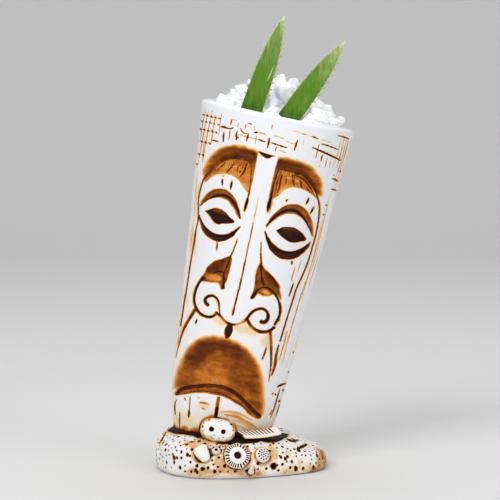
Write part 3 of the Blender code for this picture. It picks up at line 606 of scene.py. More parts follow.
def draw_upright_weave(c):
    """The upright marks scratched under the rim."""
    scratch_weave(c, (
        ([(-25.3, 154.2), (-25.0, 151.6), (-24.6, 149)], 0.6, 1.0),
        ([(-22.6, 161.3), (-22.6, 158.6)], 0.5, 0.75),
        ([(-22.4, 155.6), (-22.1, 153.2), (-21.8, 150.8)], 0.4, 0.7),
        ([(-18.5, 156.2), (-18.4, 153.8), (-17.9, 151.4)], 0.6, 0.9),
        ([(-18.2, 153.4), (-17.0, 152.6)], 0.4, 0.7), ([(-18.6, 161), (-18.6, 158)], 0.35, 0.3),
        ([(-14.7, 160.6), (-14.6, 158.4)], 0.4, 0.5),
        ([(-12.4, 156.2), (-12.4, 154), (-12.6, 151.8)], 0.5, 0.92),
        ([(-9.8, 160.6), (-9.8, 158.4)], 0.35, 0.35), ([(-7.8, 156), (-7.8, 151.4)], 0.35, 0.45),
        ([(-0.8, 163.2), (-1.0, 160.6)], 0.4, 0.45),
        ([(-0.9, 156.6), (-0.9, 153.6), (-0.8, 150.6)], 0.55, 0.97),
        ([(3.6, 152.1), (3.7, 150.0)], 0.4, 0.7),
        ([(13.8, 158.2), (13.6, 155), (13.3, 152.4)], 0.5, 0.93),
        ([(25.7, 158.4), (25.6, 155), (25.4, 150.8)], 0.35, 0.55),
        ([(28.4, 153.2), (28.4, 151.2), (28.5, 149.4)], 0.45, 0.95),
        ([(28.1, 147.3), (28.0, 146.8)], 0.45, 0.6),
        ([(31.3, 152.4), (31.3, 149), (31.2, 146)], 0.3, 0.4), ([(33.6, 151.4), (33.5, 147)], 0.3, 0.3),
        ([(35.4, 151), (35.2, 147.5)], 0.3, 0.25), ([(17.6, 160), (17.3, 156)], 0.3, 0.25)))


def draw_edge_weave(c):
    """The woven patch at the left edge of the band, and upright scratches at its right edge."""
    for p, high, low in ((-37.4, 164, 146), (-35.8, 163.4, 134.5), (-33.8, 164, 136),
                         (-31.5, 162, 146.5), (-28.5, 163, 152)):
        c.stroke([(p, high), (p + 0.2, (high + low) / 2.0), (p + 0.9, low)], 0.26, 0.35, 0.44,
                 halo=0.5)
    for q, tone, columns in ((160.6, 0.95, 5), (157.3, 0.7, 5), (153.0, 1.0, 5), (146.6, 1.0, 4),
                             (139.8, 1.0, 3), (134.4, 0.85, 2)):
        for number in range(columns):
            p = -38.6 + 2.15 * number
            c.stroke([(p, q + 0.35), (p + 1.5, q - 0.15)], 0.4, 0.45, tone * (1 - 0.08 * number),
                     halo=0.5)
    for p, high, low, tone in ((36.4, 163, 150, 0.3), (37.9, 164.4, 148, 0.45),
                               (39.2, 164.6, 146, 0.4), (40.3, 164, 150, 0.5)):
        c.stroke([(p, high), (p - 0.1, (high + low) / 2.0), (p - 0.6, low)], 0.24, 0.3, tone,
                 halo=0.5)


def draw_face(c):
    """The whole face. Later shapes cut into earlier ones, so the order counts."""
    for draw in (draw_level_weave, draw_upright_weave, draw_edge_weave, draw_brow_hollows,
                 draw_brow_bands, draw_arches, draw_eyes, draw_eye_lines, draw_mouth, draw_lip,
                 draw_nose, draw_scrolls, draw_chin, draw_flanks):
        draw(c)


def draw_round_the_back(c, rng):
    """Bark-like scratches and the hatched band on the sides and back, where no face is.
    Here p runs round the wall from the middle of the back, and q along the cup."""
    for q in (161, 157.2, 153, 147, 140.5, 134.5):
        p = -96.0
        while p < 96.0:
            length = rng.uniform(1.2, 7.0)
            if rng.random() < (0.62 if q > 150 else 0.35):
                c.stroke([(p, q), (p + length, q + rng.uniform(-0.5, 0.5))],
                         rng.uniform(0.35, 0.6), 0.45, rng.uniform(0.4, 1.0), halo=0.6)
            p += length + rng.uniform(0.8, 4.0)
    for _ in range(110):
        p, q = rng.uniform(-96.0, 96.0), rng.uniform(150.0, 162.0)
        c.stroke([(p, q), (p + rng.uniform(-0.4, 0.4), q - rng.uniform(1.5, 7.0))],
                 rng.uniform(0.3, 0.55), 0.4, rng.uniform(0.3, 1.0), halo=0.6)
    for _ in range(70):
        p, q = rng.uniform(-92.0, 92.0), rng.uniform(20.0, 146.0)
        length = rng.uniform(10.0, 46.0)
        low = max(q - length, 3.0)
        sway = rng.uniform(-1.0, 1.0)
        c.stroke([(p, q), (p + sway, (q + low) / 2.0), (p + 0.4 * sway, low)],
                 rng.uniform(0.3, 0.62), 0.5, rng.uniform(0.3, 0.9), halo=0.8)


# ---- meshes ----

def build_mesh(name, verts, faces, attributes=None):
    mesh = bpy.data.meshes.new(name)
    mesh.from_pydata([tuple(v) for v in np.asarray(verts, float) * MM], [], faces)
    mesh.validate()
    for key, values in (attributes or {}).items():
        layer = mesh.attributes.new(key, "FLOAT", "POINT")
        layer.data.foreach_set("value", np.ascontiguousarray(values, dtype=np.float32))
    mesh.shade_smooth()
    obj = bpy.data.objects.new(name, mesh)
    bpy.context.scene.collection.objects.link(obj)
    return obj


def ring_faces(rows, columns, start=0):
    """Quads between rows of points that go round anticlockwise from below to above."""
    faces = []
    for i in range(rows - 1):
        low, high = start + i * columns, start + (i + 1) * columns
        for j in range(columns):
            k = (j + 1) % columns
            faces.append((low + j, low + k, high + k, high + j))
    return faces


def fan_faces(centre, first, columns, upward):
    if upward:
        return [(first + j, first + (j + 1) % columns, centre) for j in range(columns)]
    return [(first + (j + 1) % columns, first + j, centre) for j in range(columns)]


def closed_rings(name, rings, attributes=None):
    """A closed solid from rings of points, first ring at the bottom, with a middle point at
    each end."""
    rows, columns = rings.shape[:2]
    verts = np.vstack((rings.reshape(-1, 3), rings[0].mean(0)[None], rings[-1].mean(0)[None]))
    faces = ring_faces(rows, columns)
    faces += fan_faces(rows * columns, 0, columns, False)
    faces += fan_faces(rows * columns + 1, (rows - 1) * columns, columns, True)
    full = {}
    for key, values in (attributes or {}).items():
        grid = np.asarray(values, float)
        full[key] = np.concatenate((grid.reshape(-1), [grid[0].mean()], [grid[-1].mean()]))
    return build_mesh(name, verts, faces, full)


# ---- the cup ----

CUP_ROWS = 392
FOOT_SINK = 1.2                     # the wall goes this far into the seat
LIP_RADIUS = 2.3
LIP_START = 3.4                     # the rounding of the rim starts this far below its top
RIM_FLARE = 0.5
RIM_RISE = 1.1
FLOOR_STEPS = ((0.9, 11.5), (0.7, 10.3), (0.3, 10.0))  # share of the inside's width, height
OVAL_LENGTH = 0.96                  # length round the oval cup against that of a round one


def wall_angles():
    """Angles round the cup: close together on the front and sides, wider at the back."""
    front = np.radians(np.linspace(-195.0, 15.0, 330, endpoint=False))
    back = np.radians(np.linspace(15.0, 165.0, 120, endpoint=False))
    return np.concatenate((front, back))


def cup_ring(radius, along, cos, sin):
    """Points round the cup. The rim is a little higher on the side away from the lean."""
    rise = -RIM_RISE * cos * smooth(140.0, CUP_LENGTH - 2.0, along)
    return np.stack((radius * cos, radius * sin * OVALITY, along + rise), axis=-1)


class CupWall:
    """The outside of the cup as rings of points, before it is carved."""

    def __init__(self):
        angle = wall_angles()
        self.cos, self.sin = np.cos(angle), np.sin(angle)
        # the wall starts where it meets the seat, so it starts higher on the side it leans to
        start = cup_half_width(0.0) * self.cos * (LEAN_SIN - LEAN_COS * SEAT_FALL) - FOOT_SINK
        start = start / (LEAN_COS + LEAN_SIN * SEAT_FALL)
        climb = np.linspace(0.0, 1.0, CUP_ROWS)[:, None]
        self.along = start + (CUP_LENGTH - LIP_START - start) * climb
        heel = np.clip(1.0 - self.along / 26.0, 0.0, 1.0) ** 2 * np.clip(-self.cos, 0.0, 1.0)
        flare = RIM_FLARE * smooth(150.0, CUP_LENGTH, self.along)
        self.radius = cup_half_width(self.along) - 1.3 * heel + flare
        self.rings = cup_ring(self.radius, self.along, self.cos, self.sin)
        self.points = cup_to_world(self.rings).reshape(-1, 3)
        turn = (np.arctan2(self.sin, self.cos) - 0.5 * math.pi + math.pi) % (2.0 * math.pi)
        self.round_back = (turn - math.pi) * self.radius
        self.height = self.points[:, 2] - seat_height(self.points[:, 0])

    def every(self, values):
        """Values for each angle or each ring, repeated for every point."""
        return np.broadcast_to(values, self.radius.shape).reshape(-1)

    def carved(self, depth):
        """The rings, pushed in by depth."""
        out = np.stack((self.cos, self.sin / OVALITY, np.full_like(self.cos, -0.07)), axis=-1)
        out = out / np.linalg.norm(out, axis=-1, keepdims=True)
        return self.rings - out * depth.reshape(*self.radius.shape, 1)


def scratch_wall(wall, back, depth, tone):
    """Adds faint grain down the whole wall, more of it on the sides and back."""
    at = np.stack((wall.round_back.reshape(-1), wall.every(wall.along * 0.045),
                   np.zeros(len(depth))), axis=-1)
    grain = noise3(at, 1.1, 21) * 0.6 + noise3(at, 0.5, 22) * 0.4
    flank = wall.every(smooth(0.72, 0.95, np.abs(wall.cos)))
    below_rim = wall.every(1.0 - smooth(150.0, 162.0, wall.along))
    scratch = smooth(0.60, 0.76, grain) * (0.12 + 0.88 * np.maximum(flank, 0.7 * back)) * below_rim
    tone = np.maximum(tone, (0.12 + 0.24 * np.maximum(flank, back)) * scratch)
    return depth + 0.18 * scratch + 0.10 * (grain - 0.5) * below_rim, tone


def brush_hollows(seen, tone):
    """Varies the middle tones in long slanting brush streaks."""
    at = np.stack((seen[:, 0] / 6.0 + seen[:, 1] / 9.0, seen[:, 1] / 2.0 - seen[:, 0] / 16.0,
                   np.zeros(len(tone))), axis=-1)
    streaks = noise3(at, 1.0, 51) * 0.65 + noise3(at * 1.9, 1.0, 52) * 0.35 - 0.5
    return tone + 0.17 * streaks * smooth(0.3, 0.46, tone) * (1.0 - smooth(0.72, 0.84, tone))


def stain_foot(wall, tone):
    """Adds stain that has settled round the foot and bled from the cuts."""
    mottle = noise3(wall.points, 4.0, 3) * 0.6 + noise3(wall.points, 1.5, 4) * 0.4
    uneven = mottle - 0.5
    tone = np.maximum(tone, 0.5 * (1.0 - smooth(1.0, 5.4, wall.height + 5.0 * uneven)))
    tone = np.maximum(tone, 0.13 * (1.0 - smooth(3.0, 16.0, wall.height + 14.0 * uneven)))
    band = 2.6 + 1.4 * wall.every(smooth(-0.1, 0.5, wall.cos))
    tone = np.maximum(tone, 0.86 * (1.0 - smooth(0.4, 1.0, (wall.height + 1.6 * uneven) / band)))
    bled = spread_out(tone.reshape(wall.radius.shape), 4).reshape(-1)
    low_half = wall.every(1.0 - smooth(60.0, 90.0, wall.along))
    return np.maximum(tone, (0.14 + 0.2 * low_half) * bled * smooth(0.42, 0.74, mottle))


def lip_and_inside(cos, sin):
    """Rings over the rounded lip, down the plain inside and over the floor."""
    middle = cup_half_width(CUP_LENGTH - 2.0) + RIM_FLARE - LIP_RADIUS
    rings = []
    for turn in np.linspace(0.0, math.pi, 13)[1:]:
        along = CUP_LENGTH - LIP_RADIUS + LIP_RADIUS * math.sin(turn)
        rings.append(cup_ring(middle + LIP_RADIUS * math.cos(turn), along, cos, sin))
    for along in np.linspace(CUP_LENGTH - 6.0, 16.0, 12):
        rings.append(cup_ring(cup_half_width(along) - WALL, along, cos, sin))
    for share, along in FLOOR_STEPS:
        rings.append(cup_ring((cup_half_width(16.0) - WALL) * share, along, cos, sin))
    return np.array(rings)


def make_cup():
    wall = CupWall()
    seen = drawing_place(wall.points)
    face = Carving(seen)
    draw_face(face)
    bark = Carving(np.stack((wall.round_back.reshape(-1) * OVAL_LENGTH, wall.every(wall.along)),
                            axis=-1))
    draw_round_the_back(bark, random.Random(11))
    front = wall.every(smooth(0.12, -0.06, wall.sin))
    back = wall.every(smooth(-0.02, 0.16, wall.sin))
    depth = face.depth * front + bark.depth * back
    tone = np.maximum(face.tone * front, bark.tone * back)
    depth, tone = scratch_wall(wall, back, depth, tone)
    tone = stain_foot(wall, brush_hollows(seen, tone))
    depth = depth + 0.5 * (noise3(wall.points, 22.0, 9) - 0.5)   # soft hand-made unevenness
    depth = depth * wall.every(1.0 - smooth(CUP_LENGTH - 6.0, CUP_LENGTH - 4.0, wall.along))
    plain = lip_and_inside(wall.cos, wall.sin)
    tones = np.concatenate((tone.reshape(wall.radius.shape), np.zeros(plain.shape[:2])))
    shell = np.concatenate((wall.carved(depth), plain))
    return closed_rings("cup_glazed", cup_to_world(shell), {"tone": tones})


# ---- the reef base ----

REEF_HALF_LENGTH = 46.0
REEF_HALF_WIDTH = 38.5
REEF_EGG = 0.27
REEF_CROWN_X = -8.0
REEF_BELLY_Z = 5.0
REEF_BELLY_TILT = 2.0
REEF_CROWN_Z = 22.2
REEF_UNDERCUT = 1.12
TOE_BLUNTNESS = 0.25
REEF_DRAWING_FOOT = (0.3, -6.2)     # across and up, where the base's drawing starts
LARGE_PITS = (                      # across and up on that drawing, and radius
    (-35.6, 12.1, 1.15), (-28.6, 13.6, 0.9), (-20.4, 6.1, 1.1), (-24.3, 5.3, 1.0),
    (17.3, 7.6, 1.65), (40.2, 13.4, 1.05), (29.4, 6.1, 1.15), (23.6, 11.6, 0.95),
    (-17.8, 6.6, 0.8), (21.0, 12.4, 0.85))
SPRIG_SEATS = {                     # turn and rise of each seat in degrees, and its radius
    "daisy_barnacle": (92.0, 19.5, 6.7), "pearl_urchin": (75.8, 21.5, 3.9),
    "fan_shell": (115.4, 20.0, 4.3), "cone_shell": (83.8, -2.0, 1.7),
    "barnacle_1": (106.0, 27.5, 2.0), "barnacle_2": (101.6, 35.0, 1.2),
    "barnacle_3": (110.6, 36.0, 1.1)}


def reef_points(turn, rise):
    """Points of the base's dome. turn goes from the toe towards the front, rise from the belly."""
    c, s = np.cos(turn), np.sin(turn)
    blunt = 1.0 - TOE_BLUNTNESS * np.maximum(0.0, c)
    edge_x = REEF_HALF_LENGTH * signed_power(c, blunt)
    edge_y = -REEF_HALF_WIDTH * signed_power(s, blunt) * (1.0 - REEF_EGG * c)
    belly = REEF_BELLY_Z - REEF_BELLY_TILT * c
    up = np.abs(np.sin(rise))
    above = rise >= 0.0
    reach = np.where(above, np.cos(rise) ** (2.0 / (4.0 - c)), np.cos(rise) ** 0.15)
    high = belly + (REEF_CROWN_Z - belly) * up ** (2.0 / (2.5 - 0.7 * c))
    low = belly * (1.0 - REEF_UNDERCUT * up ** 0.6)
    return np.stack((REEF_CROWN_X + reach * (edge_x - REEF_CROWN_X), reach * edge_y,
                     np.where(above, high, low)), axis=-1)


def reef_frame(turn_deg, rise_deg, spin_deg=0.0, lift=0.0):
    """A frame on the reef's surface: +Z out of it, +X level and to the right."""
    turn, rise, step = math.radians(turn_deg), math.radians(rise_deg), 0.01
    point = Vector(reef_points(np.float64(turn), np.float64(rise)))
    right = Vector(reef_points(np.float64(turn - step), np.float64(rise))) - point
    up = Vector(reef_points(np.float64(turn), np.float64(rise + step))) - point
    out = right.cross(up).normalized()
    right.normalize()
    basis = Matrix((right, out.cross(right), out)).transposed().to_4x4()
    return (Matrix.Translation(point + out * lift) @ basis
            @ Matrix.Rotation(math.radians(spin_deg), 4, "Z"))


def sprig_frame(node, spin_deg=0.0, lift=0.0):
    turn, rise, _ = SPRIG_SEATS[node]
    return reef_frame(turn, rise, spin_deg, lift)


def reef_grid(columns, rows):
    """Evenly spaced rows of points from the underside's edge up to the seat and over its flat."""
    turn = np.linspace(0.0, 2.0 * math.pi, columns, endpoint=False)
    side_power = 2.5 - 0.7 * np.cos(turn)
    belly = REEF_BELLY_Z - REEF_BELLY_TILT * np.cos(turn)
    top = np.full(columns, 1.0)
    for _ in range(12):
        seat_share = (seat_height(reef_points(turn, top)[:, 0]) - belly) / (REEF_CROWN_Z - belly)
        top = np.arcsin(seat_share ** (side_power / 2.0))
    foot = -math.asin((1.0 / REEF_UNDERCUT) ** (1.0 / 0.6))
    share = np.linspace(0.0, 1.0, 320)[:, None]
    fine = reef_points(np.broadcast_to(turn, (320, columns)), foot + (top - foot) * share)
    steps = np.linalg.norm(np.diff(fine, axis=0), axis=-1)
    marks = np.vstack((np.zeros(columns), np.cumsum(steps, axis=0)))
    grid = np.empty((rows, columns, 3))
    for j in range(columns):
        wanted = np.linspace(0.0, marks[-1, j], rows)
        for axis in range(3):
            grid[:, j, axis] = np.interp(wanted, marks[:, j], fine[:, j, axis])
    middle = np.array((FOOT_X, 0.0, SEAT_Z))
    seat = [grid[-1] + (middle - grid[-1]) * share for share in np.linspace(0.0, 0.8, 41)[1:]]
    return np.concatenate((grid, np.array(seat)))


def grid_normals(grid):
    """Outward normals of a grid of rings that go round clockwise seen from above."""
    across = np.roll(grid, -1, axis=1) - np.roll(grid, 1, axis=1)
    up = np.gradient(grid, axis=0)
    normal = np.cross(up, across)
    return normal / np.maximum(np.linalg.norm(normal, axis=-1, keepdims=True), 1e-9)


class Reef:
    """The base's surface as rings of points, and the noise that its stain and pits share."""

    def __init__(self):
        self.grid = reef_grid(640, 112)
        self.points = self.grid.reshape(-1, 3)
        self.wide = noise3(self.points, 9.0, 31)
        self.fine = noise3(self.points, 2.4, 32) * 0.6 + noise3(self.points, 1.0, 33) * 0.4
        self.front = self.points[:, 1] < 2.0
        self.drawn = seen_place(self.points) - REEF_DRAWING_FOOT
        beside = (self.points[:, 0] - FOOT_X) / LEAN_COS
        foot = cup_half_width(0.0) + 0.2
        self.from_cup = np.sqrt(beside ** 2 + (self.points[:, 1] / OVALITY) ** 2) - foot

    def shaped(self, depth):
        """The rings, pushed in by depth, with shoulders that slump at the toe and heel."""
        x, _, z = np.moveaxis(self.grid, -1, 0)
        shape = self.grid - grid_normals(self.grid) * depth.reshape(*x.shape, 1)
        slump = 1.1 * smooth(6.0, 20.0, x) + 1.3 * smooth(20.0, 32.0, x)
        slump = slump + 1.0 * smooth(-26.0, -38.0, x)
        shape[..., 2] -= slump * smooth(9.0, 17.0, z)
        return shape


def reef_stain(reef):
    """Warm stain: low in front, on the toe and in drifts, and dark in the gutter at the cup."""
    x, _, z = reef.points.T
    low = (1.0 - smooth(0.0, 9.0, z)) * smooth(0.25, 0.6, reef.wide)
    toe = smooth(33.0, 45.0, x) * smooth(0.3, 0.6, reef.fine * 0.5 + reef.wide * 0.5)
    drift = smooth(0.52, 0.74, reef.wide) * smooth(0.4, 0.62, reef.fine) * 0.5
    heel_clean = 1.0 - 0.75 * (1.0 - smooth(-36.0, -20.0, x))
    tone = ((0.3 * low + 0.3 * drift) * heel_clean + 0.36 * toe) * (0.45 + 0.9 * reef.fine)
    tone = tone * smooth(0.0, 2.2, z)
    ragged = 2.2 * (reef.fine - 0.5) + 1.6 * (reef.wide - 0.5)
    tone = np.maximum(tone, 0.97 * (1.0 - smooth(1.0, 2.4, reef.from_cup + 0.7 * ragged)))
    return np.maximum(tone, 0.34 * (1.0 - smooth(1.5, 6.0, reef.from_cup + ragged * 1.6)))


def draw_reef(c):
    """The dark gutter with painted shadow under the bead and comb, the grooves and the warm patches on
    the front of the base.
    """
    # the dark gutter at the cup's foot, reaching just below the bead and comb as their painted shadow
    c.area([(-43.5, 32), (-41.8, 28.6), (-35.6, 26.6), (-29, 24.8), (-22.5, 22.4), (-14.3, 20.0),
            (-4.3, 19.2), (3.2, 19.6), (11.7, 20.8), (20.7, 22.6), (25, 25.4), (26, 34),
            (-42, 34)], tone=0.98, soft=0.55, ragged=1.6)
    c.stroke([(34.4, 21.4), (32.4, 20.4), (30.4, 18.9), (30.9, 17.0)], 0.95, 1.2, 0.9, "even")
    for points, width, depth, tone in (
            ([(14.4, 18.9), (16.6, 17.4), (17.6, 15.3), (17.0, 12.6), (15.0, 10.2)], 0.8, 0.7, 0.66),
            ([(-43.8, 20.4), (-41.6, 24.2), (-39.8, 27.2)], 0.5, 0.8, 0.85),
            ([(-42.4, 19.0), (-40.6, 22.6)], 0.4, 0.6, 0.7),
            ([(-31.0, 19.2), (-26.5, 20.4), (-22.4, 20.8)], 0.7, 0.5, 0.6),
            ([(24.0, 23.6), (27.0, 23.0), (30.4, 23.8)], 0.9, 0.5, 0.8)):
        c.stroke(points, width, depth, tone)
    for points, tone in (
            ([(-29, 20), (-21, 22), (-14, 21), (-17, 18.4), (-24, 17.4), (-30, 18)], 0.3),
            ([(-8, 8.8), (-2, 6.2), (5, 8.4), (7, 4.8), (0, 3.4), (-9, 3.6), (-20, 3.4),
              (-28, 4.6), (-24, 6.4), (-15, 6.0)], 0.34),
            ([(-13, 12), (-9, 14), (-7.5, 10), (-10, 7.5), (-15, 8)], 0.3),
            ([(14, 19.6), (19, 19), (19, 14), (16.4, 10), (14, 11)], 0.28),
            ([(43, 17), (45.5, 13), (46, 8), (42, 4.4), (37, 4.6), (40, 9), (41.6, 14)], 0.36)):
        c.area(points, tone=tone, soft=1.8, ragged=3.0)


def scatter_pits(points, rng, count, apart):
    """Centres and radii of small pits, kept apart from one another."""
    chosen = []
    for _ in range(count * 6):
        point = points[rng.randrange(len(points))]
        radius = rng.choice((0.46, 0.52, 0.58, 0.66, 0.78, 0.92))
        if all(np.linalg.norm(point - other) > apart + radius + size
               for other, size in chosen):
            chosen.append((point, radius))
        if len(chosen) == count:
            break
    return chosen


def reef_pits(reef):
    """Small pits all over, fewer on the toe, and the largest ones at their own places."""
    rng = random.Random(5)
    x, _, z = reef.points.T
    open_field = (reef.from_cup > 3.6) & (z > 3.0)
    upper_toe = (x > 22.0) & (z > 15.0)
    pits = scatter_pits(reef.points[open_field & ~upper_toe], rng, 430, 1.25)
    pits += scatter_pits(reef.points[open_field & upper_toe], rng, 30, 2.6)
    for across, up, radius in LARGE_PITS:
        gap = np.hypot(reef.drawn[:, 0] - across, reef.drawn[:, 1] - up)
        pits.append((reef.points[int(np.argmin(np.where(reef.front, gap, 1e9)))], radius))
    return pits


def cut_pits(reef, depth, tone):
    """Cuts every pit into depth and tone. A pit is a little longer up than across."""
    for centre, radius in reef_pits(reef):
        near = np.flatnonzero(np.abs(reef.points - centre).max(1) < radius * 2.4)
        gap = np.linalg.norm((reef.points[near] - centre) * (1.0, 1.0, 0.82), axis=1)
        gap = gap * (1.0 + 0.5 * (reef.fine[near] - 0.5)) / radius
        depth[near] += radius * 1.15 * (1.0 - smooth(0.35, 1.1, gap))
        tone[near] = np.maximum(tone[near], 1.0 - smooth(0.7, 1.16, gap))
        tone[near] = np.maximum(tone[near], 0.14 * (1.0 - smooth(1.0, 1.8, gap)))


def shade_and_stain_joints(reef, tone):
    """Adds dark stain in the joints round the sprigs, partly painted contact shadow."""
    for node, (_, _, radius) in SPRIG_SEATS.items():
        seat = np.array(sprig_frame(node).translation)
        gap = np.linalg.norm(reef.points - seat, axis=1) - radius + 0.9 * (reef.fine - 0.5)
        # dark stain in the joint, partly painted contact shadow round each sprig
        tone = np.maximum(tone, 0.84 * (1.0 - smooth(0.1, 0.8, gap)))
        tone = np.maximum(tone, 0.34 * (1.0 - smooth(0.6, 3.0, gap + 2.0 * (reef.wide - 0.5))))
    return tone


def make_reef():
    reef = Reef()
    marks = Carving(reef.drawn)
    draw_reef(marks)
    depth = 0.9 * (noise3(reef.points, 7.0, 34) - 0.5) + 0.25 * (reef.fine - 0.5)
    depth = depth + marks.depth * reef.front
    tone = np.maximum(reef_stain(reef), marks.tone * reef.front * (0.75 + 0.4 * reef.fine))
    cut_pits(reef, depth, tone)
    tone = shade_and_stain_joints(reef, tone)
    x, _, z = reef.points.T
    depth = depth * smooth(0.2, 1.6, z) * smooth(-0.4, 1.5, seat_height(x) - z)
    shape = reef.shaped(depth)
    tones = tone.reshape(shape.shape[:2])
    return closed_rings("reef_pitted", shape[:, ::-1], {"tone": tones[:, ::-1]})


# ---- sprigs ----

def placed(points, matrix):
    basis = np.array(matrix.to_3x3())
    return points @ basis.T + np.array(matrix.translation)


def round_sprig(name, matrix, profile, columns, rows, shape):
    """A turned ornament. profile goes from its lowest outer edge to its middle, and
    shape(radius, angle, height) gives the added height and the tone at each point."""
    curve = curve_through(profile, 12)
    lengths = np.linalg.norm(np.diff(curve, axis=0), axis=1)
    marks = np.concatenate(([0.0], np.cumsum(lengths)))
    wanted = np.linspace(0.0, marks[-1], rows + 1)[:-1]
    radius = np.interp(wanted, marks, curve[:, 0])[:, None]
    height = np.interp(wanted, marks, curve[:, 1])[:, None]
    angle = np.linspace(0.0, 2.0 * math.pi, columns, endpoint=False)[None, :]
    widen, rise, tone = shape(radius, angle, height)
    grid = np.stack(np.broadcast_arrays((radius + widen) * np.cos(angle),
                                        (radius + widen) * np.sin(angle), height + rise), -1)
    return closed_rings(name, placed(grid, matrix), {"tone": np.broadcast_to(tone, grid.shape[:2])})


def make_bead():
    """The rounded bead with two eye-holes."""
    half = np.array((9.1, 4.7, 6.0))
    columns, rows = 190, 90
    lon = np.linspace(0.0, 2.0 * math.pi, columns, endpoint=False)[None, :]
    lat = np.linspace(-math.pi / 2.0, math.pi / 2.0, rows + 2)[1:-1, None]
    ring = signed_power(np.cos(lat), 0.75)
    grid = np.stack(np.broadcast_arrays(half[0] * ring * signed_power(np.cos(lon), 0.75),
                                        half[1] * ring * signed_power(np.sin(lon), 0.75),
                                        half[2] * signed_power(np.sin(lat), 0.75)), -1)
    x, y, z = grid[..., 0], grid[..., 1], grid[..., 2]
    grain = noise3(grid, 1.3, 41)
    front = smooth(0.2, -0.6, y / half[1])
    edge = np.hypot(x / half[0], z / half[2])
    tone = 0.34 * smooth(0.84, 1.02, edge + 0.16 * (grain - 0.5)) + 0.10 * smooth(0.5, 0.9, grain)
    # painted contact shadow: the back edge round the outline, where the bead sits against the wall and
    # base, is dark
    tone = np.maximum(tone, 0.9 * smooth(-0.5, 0.6, y / half[1]) * smooth(0.86, 0.98, edge))
    depth = 0.2 * (noise3(grid, 3.5, 42) - 0.5)
    holes = ((-3.3, -0.2, 1.45, 2.2), (3.0, -0.6, 1.35, 2.2), (-5.3, 4.3, 0.45, 0.5),
             (6.4, 3.9, 0.62, 0.6), (7.9, 1.0, 0.4, 0.4), (-8.0, 0.6, 0.5, 0.5),
             (-7.6, -1.8, 0.4, 0.4), (1.2, 4.9, 0.32, 0.3), (1.7, 2.4, 0.28, 0.3),
             (0.0, -2.6, 0.3, 0.3), (3.4, -3.6, 0.35, 0.3), (-1.4, -3.2, 0.3, 0.3))
    for across, up, radius, deep in holes:
        gap = np.hypot(x - across, z - up) / radius
        depth = depth + front * deep * (1.0 - smooth(0.45, 1.05, gap))
        tone = np.maximum(tone, front * 0.97 * (1.0 - smooth(0.7, 1.05, gap)))
        tone = np.maximum(tone, front * 0.12 * (1.0 - smooth(1.0, 1.5, gap)))
    low_stain = front * smooth(-2.4, -5.4, z) * smooth(0.35, 0.75, grain) * 0.42
    tone = np.maximum(tone, low_stain)
    grid[..., 1] += depth
    matrix = (Matrix.Translation((-11.8, -31.0, 24.8)) @ Matrix.Rotation(math.radians(9.0), 4, "Y")
              @ Matrix.Rotation(math.radians(-12.0), 4, "X"))
    return closed_rings("bead_carved", placed(grid, matrix), {"tone": tone})


def make_comb():
    """The comb: a rounded spine, leaning teeth with stained gaps, and a plain right end."""
    spine, tooth, pitch = 1.9, 4.0, 1.93
    root = np.linspace(-9.2, 12.0, 230)[:, None]
    up = np.linspace(0.0, spine + tooth, 36)[None, :]
    climb = np.clip((up - spine) / tooth, 0.0, 1.0)
    x = root + climb * (-3.0 + 1.6 * np.clip((root + 9.2) / 17.4, 0.0, 1.0))
    low_edge = -1.2 * (1.0 - (root / 12.0) ** 2)
    phase = (root + 9.1) / pitch
    width = (1.15 - 0.5 * climb) / pitch
    share = phase % 1.0
    ridge = smooth(0.0, 0.08, share) * (1.0 - smooth(width - 0.06, width + 0.06, share))
    ridge = np.where(phase > 8.9, smooth(8.95, 9.1, phase), ridge)
    on_spine = 1.0 - smooth(spine - 0.2, spine + 0.3, up)
    raised = np.maximum(ridge, on_spine)
    ends = smooth(0.0, 0.5, up) * (1.0 - smooth(spine + tooth - 0.5, spine + tooth, up))
    top = -0.5 + 1.2 * raised * (0.6 + 0.4 * ends)
    tone = 1.0 - 0.97 * raised
    tone = np.maximum(tone, 0.2 * (1.0 - ends) * raised)
    under = np.stack(np.broadcast_arrays(x, low_edge + up, -0.7), -1)
    over = np.stack(np.broadcast_arrays(x, low_edge + up, top), -1)[:, ::-1]
    grid = np.concatenate((under, over), axis=1)
    # the back face, which lies towards the base, is dark as painted shade under the comb
    tones = np.concatenate((np.full_like(tone, 0.9), tone[:, ::-1]), axis=1)
    matrix = (Matrix.Translation((10.6, -27.4, 20.9)) @ Matrix.Rotation(math.radians(26.0), 4, "Z")
              @ Matrix.Rotation(math.radians(-0.5), 4, "Y")
              @ Matrix.Rotation(math.radians(34.0), 4, "X"))
    return closed_rings("comb_toothed", placed(grid, matrix), {"tone": tones})


def make_daisy():
    """A flat barnacle like a daisy, with a deep open centre and short slots in its rim."""
    def shape(radius, angle, height):
        slots = 26
        wave = np.abs(((angle * slots / (2.0 * math.pi) + 0.35 * np.sin(3 * angle)) % 1.0) - 0.5)
        half = 0.5 - wave
        width_mm = half * 2.0 * math.pi * np.maximum(radius, 0.5) / slots
        band = smooth(4.3, 4.8, radius) * (1.0 - smooth(6.25, 6.6, radius)) * (height > 0.0)
        slot = band * (1.0 - smooth(0.2, 0.42, width_mm))
        hole = 1.0 - smooth(1.6, 2.15, radius)
        wobble = 0.16 * np.sin(5 * angle + 1.0) + 0.12 * np.sin(9 * angle)
        tone = np.maximum(0.96 * slot, 0.92 * hole)
        # the foot of the outer wall is dark: partly stain in the joint, partly painted contact shadow
        tone = np.maximum(tone, 0.95 * (1.0 - smooth(-0.9, 0.5, height)) * smooth(6.0, 6.6, radius))
        tone = np.maximum(tone, 0.16 * smooth(5.2, 6.6, radius))
        widen = wobble * smooth(4.0, 6.5, radius)
        return widen, -0.75 * slot - 1.8 * hole, tone

    profile = [(6.3, -2.6), (6.65, -1.2), (6.75, 0.4), (6.3, 1.5), (5.2, 2.05), (3.7, 2.5),
               (2.4, 2.65), (1.5, 2.5), (0.02, 2.4)]
    return round_sprig("daisy_carved", sprig_frame("daisy_barnacle"), profile, 320, 90, shape)


